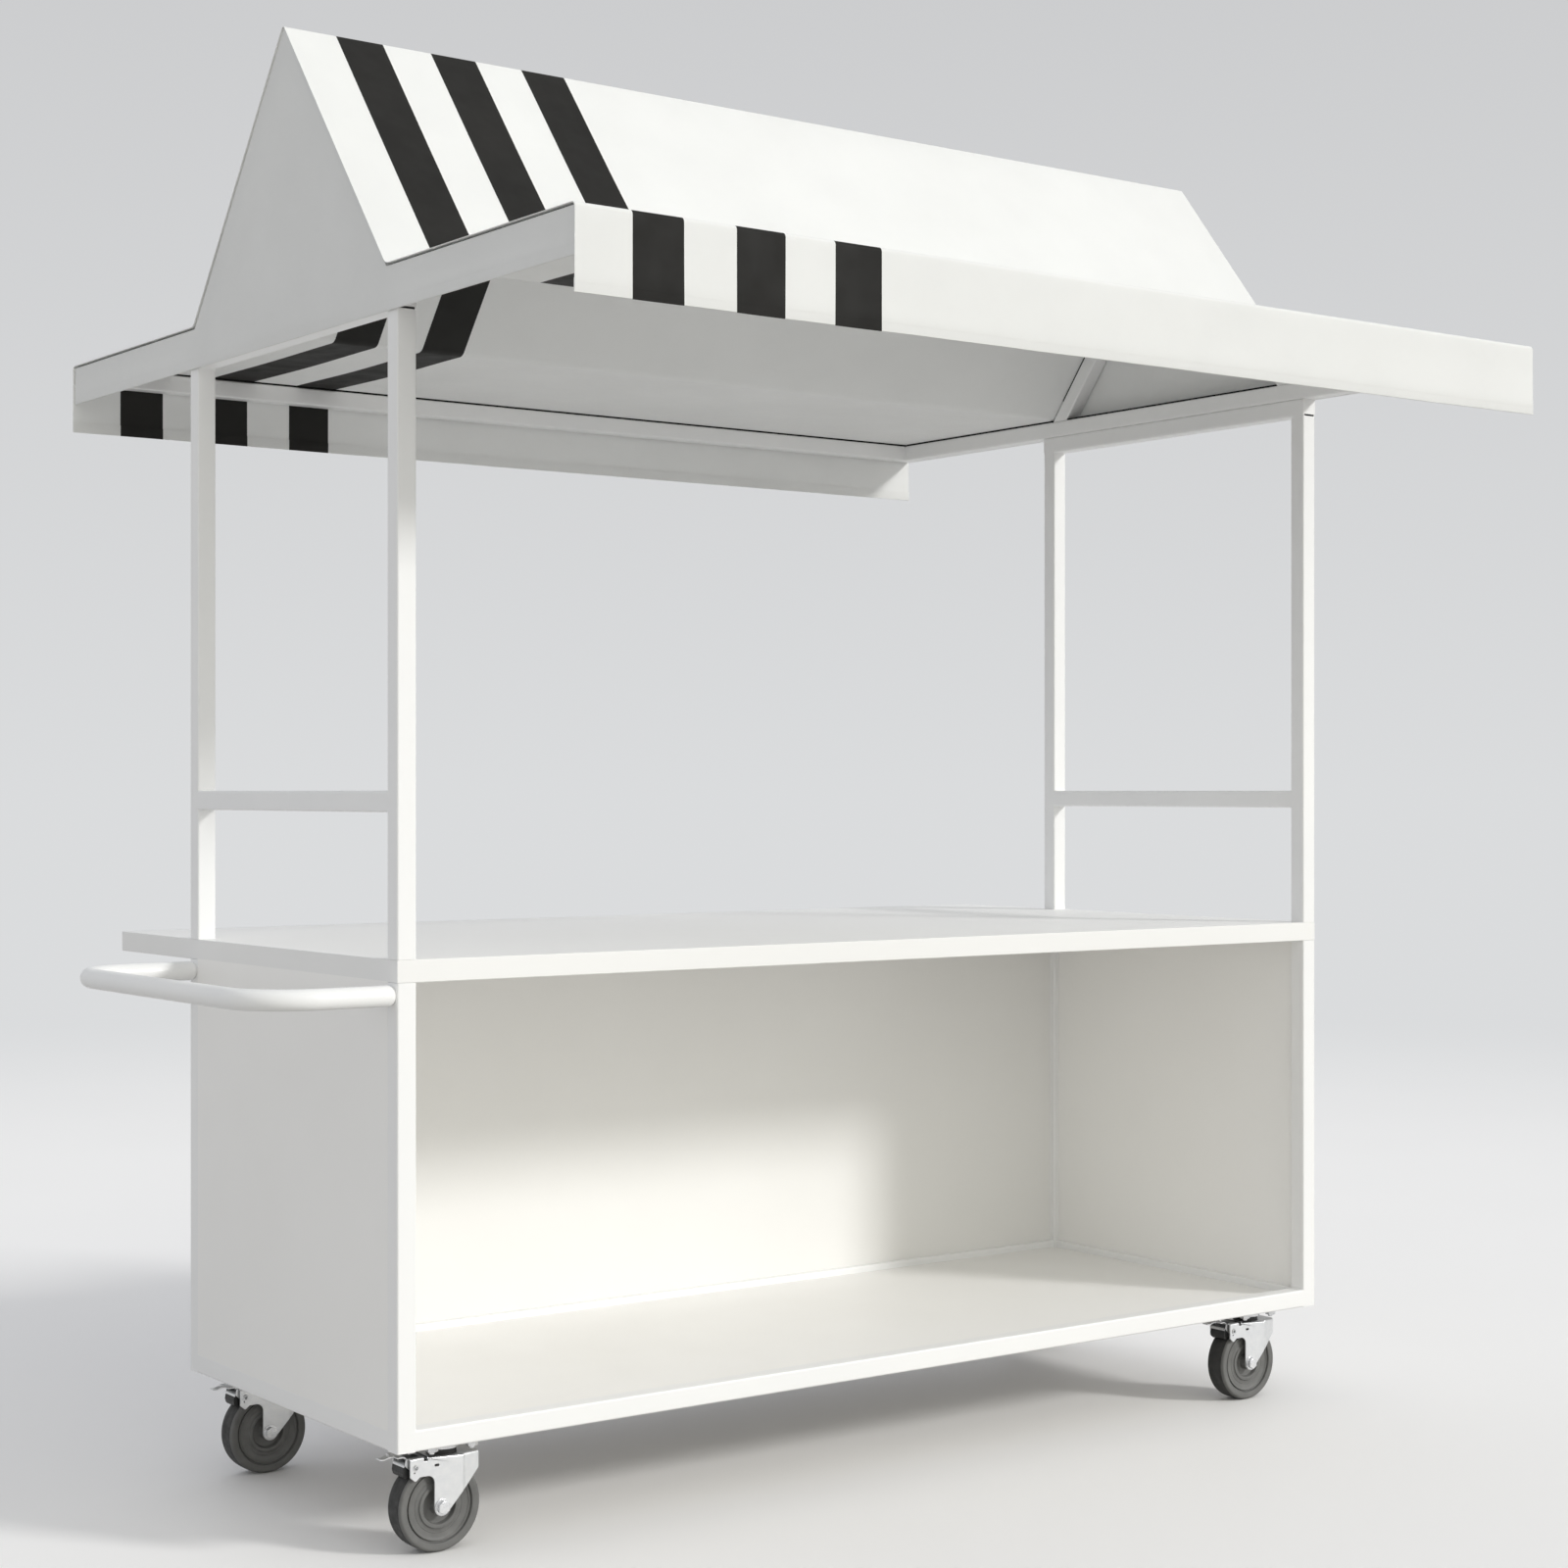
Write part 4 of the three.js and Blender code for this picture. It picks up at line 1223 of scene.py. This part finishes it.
def hex_head(name, across, height, centre, way, outward):
    """Hexagon head with its corners turned off, a washer face under it."""
    drop_selection()
    middle = Vector(centre)
    middle[way] += outward * height / 2
    turn = (math.pi / 2 if way == Y else 0, 0, 0)
    bpy.ops.mesh.primitive_cylinder_add(vertices=6, radius=across / math.sqrt(3), depth=height,
                                        location=middle, rotation=turn)
    head = settle(named(name))
    start_edit(head)
    pick('FACE', lambda place, normal: normal[way] * outward > straight_share)
    bpy.ops.mesh.inset(thickness=head_chamfer)
    bpy.ops.transform.translate(value=along(way, outward * head_rise))
    end_edit()
    round_edges(head, head_edge)
    section = [(share * across, rise * MM) for share, rise in washer_face]
    washer = turned(name + "_washer", section, way, bolt_steps)
    place = Vector(centre)
    if outward < 0:
        place[way] -= washer_height
    shift(washer, place)
    return [head, washer]


def axle_master():
    parts = []
    for outward in (-1, 1):
        start = (0, outward * fork_half, 0)
        parts += hex_head(f"axle_head_{outward}", axle_bolt_across, axle_head_height, start, Y, outward)
    parts.append(turned("axle_shank", rod(axle_radius, axle_shank_half), steps=bolt_steps))
    bolt = joined("axle_master", parts)
    smooth(bolt)
    return bolt


def fork_side():
    reach = math.hypot(fork_rear, fork_flank)
    slant = math.atan2(fork_flank, fork_rear) + math.asin(fork_boss / reach)
    boss_corner = fork_flank - (fork_rear + fork_boss) * math.tan(slant)
    ear_rear = fork_front - fork_ear_width
    return rounded_path([
        (-fork_front, fork_top, 0),
        (-fork_front, fork_ear_corner, ear_round),
        (-ear_rear, fork_ear_bottom, notch_round),
        (-ear_rear + fork_ear_slant, fork_arch, notch_round),
        (-fork_boss, fork_arch, arch_round),
        (-fork_boss, boss_corner, fork_boss),
        (fork_rear, fork_flank, flank_round),
        (fork_rear, fork_land, 0),
        (-ear_notch_back, fork_land, 0),
        (-ear_notch_back, fork_top, 0),
    ], fork_round_steps, closed=True)


def fork_plan(inset, past, groove):
    """Fork from above, narrowing behind its crease, inset by the sheet and past its ends for the inside."""
    half = fork_half - inset
    taper = fork_taper / (fork_rear - fork_crease)
    side = [(-fork_front - past, half), (fork_crease, half - groove)]
    if groove:
        side.insert(1, (fork_crease - crease_half, half))
        side.append((fork_crease + crease_half, half - taper * crease_half))
    side.append((fork_rear + past, half - taper * (fork_rear - fork_crease + past)))
    return [(x, -y) for x, y in side] + list(reversed(side))


def drill(piece, radius, way, centre, half_length, steps=hole_steps):
    bit = turned("bit", rod(radius, half_length), way, steps)
    shift(bit, centre)
    cut(piece, bit)


def fork_master():
    """Fork folded from one sheet: two side plates, their brake ears, and the top under the black seal,
    whose black is also painted shade.
    """
    fork = prism("fork_master", fork_side(), Y, -fork_half, fork_half)
    inner = fork_half - fork_sheet
    wide = fork_half + overrun
    rear = -fork_front - overrun
    low = -fork_boss - overrun
    high = fork_top + overrun
    notch = -ear_notch_back - ear_notch_length
    cut(fork, prism("plan", fork_plan(0, 0, crease_depth), Z, low, fork_top), 'INTERSECT')
    start_edit(fork)
    shoulder = fork_land - shoulder_reach
    pick('EDGE', lambda middle, way: middle.z > shoulder and abs(way.x) > shoulder_share)
    bpy.ops.mesh.bevel(offset=fork_shoulder, segments=shoulder_steps, affect='EDGES')
    end_edit()
    inside = fork_plan(fork_sheet, overrun, 0)
    cut(fork, prism("inside", inside, Z, low - overrun, fork_land - fork_sheet))
    for name, half, start, end, bottom, top in (
        ("ear_inside", inner, rear, -ear_notch_back, fork_ear_bottom, fork_top - fork_sheet),
        ("notch", wide, notch, -ear_notch_back, ear_notch_floor, high),
        ("opening", ear_opening_half, rear, -ear_notch_back, ear_notch_floor, high),
    ):
        cut(fork, block(name, (start, -half, bottom), (end, half, top)))
    round_edges(fork, fork_edge, angle=fork_edge_angle, clamp=False)
    drill(fork, king_pin_hole, Z, (swivel_back, 0, fork_land), king_pin_hole_half)
    drill(fork, axle_hole, Y, (0, 0, 0), wide, axle_hole_steps)
    drill(fork, brake_pin_hole, Y, brake_pin, wide)
    drill(fork, ear_hole, Y, ear_hole_place, wide, ear_hole_steps)
    slot = rounded_path(in_metres(fork_slot), bend_steps, closed=True)
    cut(fork, prism("slot", slot, Y, -wide, wide))
    start_edit(fork)
    pick_all()
    bpy.ops.mesh.remove_doubles(threshold=fork_merge_reach)
    bpy.ops.mesh.dissolve_degenerate(threshold=fork_sliver)
    reach = crease_half + crease_reach
    pick('EDGE', lambda middle, way: abs(middle.x - fork_crease) < reach and abs(way.z) > straight_share)
    bpy.ops.mesh.mark_sharp()
    end_edit()
    smooth(fork, fork_smooth_angle)
    return fork


def shade_seal_master():
    """Black seal ring round the lower race, on the fork's top; its black is also painted shade for the dark
    gap under the plate.
    """
    low = fork_land + shade_seal_over_land
    high = plate_under - shade_seal_under_plate
    section = in_metres(shade_seal_top, (0, high)) + in_metres(shade_seal_foot, (0, low))
    shade_seal = turned("shade_seal_master", section, Z, swivel_steps)
    shift(shade_seal, (swivel_back, 0, 0))
    smooth(shade_seal)
    return shade_seal


def plate_master():
    """Top plate with its bolts, the upper race with its skirt, and the king pin."""
    under = plate_under
    signs = (-1, -1), (1, -1), (1, 1), (-1, 1)
    outline = [(x * plate_length / 2, y * plate_width / 2, plate_corner) for x, y in signs]
    plate = prism("plate", rounded_path(outline, plate_corner_steps, closed=True), Z,
                  under, under + plate_thickness)
    round_edges(plate, plate_edge)
    skirt = turned("skirt", in_metres(skirt_section, (0, under)), Z, swivel_steps)
    pin_top = fork_land - fork_sheet - king_pin_gap
    pin = in_metres(king_pin_head, (0, pin_top)) + in_metres(king_pin_neck, (0, under))
    parts = [plate, skirt, turned("king_pin", pin, Z, king_pin_steps)]
    low = under - nut_height - bolt_end
    bolt = [(0, low), (bolt_radius - bolt_chamfer, low), (bolt_radius, low + bolt_chamfer),
            (bolt_radius, under), (0, under)]
    for x in (-plate_bolt_x, plate_bolt_x):
        for y in (-plate_bolt_y, plate_bolt_y):
            parts += hex_head("plate_nut", bolt_across, nut_height, (x, y, under), Z, -1)
            end = turned("bolt_end", bolt, Z, bolt_end_steps)
            shift(end, (x, y, 0))
            parts.append(end)
    whole = joined("plate_master", parts)
    shift(whole, (swivel_back, 0, 0))
    smooth(whole)
    return whole


def bent_strip(name, line, half_width, thickness):
    """Side line of (x, z) points thickened downwards and drawn out across Y."""
    upper = rounded_path(in_metres(line), bend_steps)
    lower = []
    for i, point in enumerate(upper):
        before = upper[max(0, i - 1)]
        after = upper[min(len(upper) - 1, i + 1)]
        way = (after - before).normalized()
        lower.append(point + Vector((way.y, -way.x)) * thickness)
    if lower[0].y > upper[0].y:
        lower = [2 * point - low for point, low in zip(upper, lower)]
    return prism(name, upper + list(reversed(lower)), Y, -half_width, half_width)


def pedal_master():
    """Pressed lever with its tail, cheeks and lip, turning on the rivet in the fork's ears."""
    parts = [
        bent_strip("lever", lever_line, pedal_half, pedal_sheet),
        bent_strip("tail", tail_line, pedal_tail_half, pedal_sheet),
        bent_strip("lip", lip_line, pedal_half - lip_inset, lip_sheet),
    ]
    cheek = rounded_path(in_metres(cheek_outline), bend_steps, closed=True)
    outer = pedal_half + pedal_sheet
    for start, end in ((-outer, -pedal_half), (pedal_half, outer)):
        parts.append(prism("cheek", cheek, Y, start, end))
    for k in range(rib_count):
        back = Vector((-rib_pitch * k, 0, 0))
        parts.append(block("rib", rib_low + back, rib_high + back))
    for part in parts:
        round_edges(part, pedal_edge)
    section = mirrored(in_metres(rivet_section, (0, fork_half + rivet_stand)))
    rivet = turned("rivet", section, steps=rivet_steps)
    shift(rivet, brake_pin)
    pedal = joined("pedal_master", parts + [rivet])
    smooth(pedal)
    return pedal


def shoe_master():
    """Black brake block under the pedal, hollowed to the tyre's round."""
    arc = []
    for k in range(shoe_arc_steps + 1):
        angle = shoe_arc_start + shoe_arc_sweep * k / shoe_arc_steps
        arc.append((shoe_gap_radius * math.cos(angle), shoe_gap_radius * math.sin(angle)))
    half = pedal_half - shoe_inset
    shoe = prism("shoe_master", arc + in_metres(shoe_outline), Y, -half, half)
    round_edges(shoe, shoe_edge, shoe_edge_steps, shoe_edge_angle)
    smooth(shoe)
    return shoe


def make_casters():
    hub = wheel_ring("hub_master", in_metres(hub_section))
    masters = [
        (tyre_master(), "tyre", None, "wheel", "grey_tyre", "tyre_{}"),
        (hub, "wheel_hub", hub_plastic, "wheel", "grey_plastic", "wheel_hub_{}"),
        (axle_master(), "axle_bolt", bolt_zinc, "fork", "zinc_steel", "axle_bolt_{}"),
        (fork_master(), "caster_fork", bright_zinc, "fork", "zinc_steel", "caster_fork_{}"),
        # Black seal ring: its black is also painted shade for the gap under the plate
        (shade_seal_master(), "swivel_shade_seal", shoe_plastic, "fork", "black_plastic", None),
        (plate_master(), "caster_plate", bolt_zinc, "root", "zinc_steel", "caster_plate_{}"),
        (pedal_master(), "brake_pedal", bright_zinc, "brake", "zinc_steel", "brake_pedal_{}"),
        (shoe_master(), "brake_shoe", shoe_plastic, "brake", "black_plastic", None),
    ]
    for side, end in corners:
        corner = f"{side}_{end}"
        for master, label, material, body, slot, node in masters:
            piece = master.copy()
            piece.data = master.data.copy()
            piece.name = f"{label}_{corner}_piece"
            shift(piece, joint_place[f"roll_{corner}"])
            bpy.context.collection.objects.link(piece)
            weigh_normals(piece)
            rides = body if body == "root" else f"{body}_{corner}"
            nodes = [node.format(corner)] if node else []
            hand_over(piece, material, rides, slot, *nodes)
    for row in masters:
        bpy.data.objects.remove(row[0])


# Floor, background, light and camera

def seen_rays(tree):
    """1 for rays from the camera and for rays that metal or glass sends on."""
    path = add(tree, "ShaderNodeLightPath")
    total = path.outputs["Is Camera Ray"]
    for name in ("Is Glossy Ray", "Is Transmission Ray"):
        total = math_step(tree, 'MAXIMUM', total, path.outputs[name])
    return total


def make_world():
    world = bpy.data.worlds.new("studio")
    bpy.context.scene.world = world
    world.use_nodes = True
    tree = world.node_tree
    tree.nodes.clear()
    way = add(tree, "ShaderNodeTexCoord").outputs["Generated"]
    facing = add(tree, "ShaderNodeVectorMath", operation='DOT_PRODUCT')
    facing.inputs[1].default_value = low_front_way
    link(tree, way, facing.inputs[0])
    level = spread(tree, facing.outputs["Value"], 0, 1, low_front_from, low_front_to,
                   interpolation_type='SMOOTHSTEP')
    sky = fill(add(tree, "ShaderNodeBackground"), Strength=1.0)
    link(tree, mixed(tree, level, sky_even, sky_low_front), sky.inputs["Color"])
    parts = add(tree, "ShaderNodeSeparateXYZ")
    link(tree, way, parts.inputs["Vector"])
    height = ramp_between(tree, parts.outputs["Z"], horizon_colour, high_colour, 0, high_from)
    seen = fill(add(tree, "ShaderNodeBackground"), Strength=1.0)
    link(tree, height, seen.inputs["Color"])
    surface = add(tree, "ShaderNodeOutputWorld").inputs["Surface"]
    mixed_shader(tree, seen_rays(tree), sky.outputs[0], seen.outputs[0], surface)


def floor_material():
    """Pale floor that runs into the background far from the cart, and throws back less than it shows."""
    material, tree, shader, place = new_material("pale_floor", 0.6, specular=0.2)
    seen = seen_rays(tree)
    link(tree, mixed(tree, seen, floor_thrown, floor_seen), shader.inputs["Base Color"])
    roughen(tree, shader, noise(tree, place, 1.5, 3), 0.55, 0.65)
    relief(tree, shader, [(noise(tree, place, 300, 3), 0.05, 0.1 * MM)])
    length = add(tree, "ShaderNodeVectorMath", operation='LENGTH')
    link(tree, place, length.inputs[0])
    fade = spread(tree, length.outputs["Value"], 0, 1, floor_fade_from, floor_fade_to,
                  interpolation_type='SMOOTHSTEP')
    glow = fill(add(tree, "ShaderNodeEmission"), Color=horizon_colour, Strength=1.0)
    mixed_shader(tree, math_step(tree, 'MULTIPLY', fade, seen), shader.outputs[0], glow.outputs[0],
                 tree.nodes["Material Output"].inputs["Surface"])
    return material


def make_floor():
    drop_selection()
    bpy.ops.mesh.primitive_plane_add(size=2 * floor_half)
    floor = named("studio_floor")
    floor.data.materials.append(floor_material())


def make_sun():
    drop_selection()
    bpy.ops.object.light_add(type='SUN', location=sun_place)
    sun = named("sun")
    sun.rotation_euler = sun_way.to_track_quat('-Z', 'Y').to_euler()
    sun.data.energy = sun_strength
    sun.data.angle = sun_angle
    sun.data.color = sun_colour


def make_camera():
    drop_selection()
    bpy.ops.object.camera_add(location=camera_place, rotation=(math.pi / 2, 0, camera_turn))
    camera = named("camera")
    camera.data.lens = camera_lens
    camera.data.sensor_width = camera_sensor
    camera.data.shift_y = camera_shift
    bpy.context.scene.camera = camera


make_camera()
make_world()
make_floor()
make_sun()
make_frame()
make_welds()
make_handle()
make_boards()
make_canopy()
make_rafters()
make_tapes()
make_casters()

bpy.context.scene.view_settings.view_transform = 'Standard'
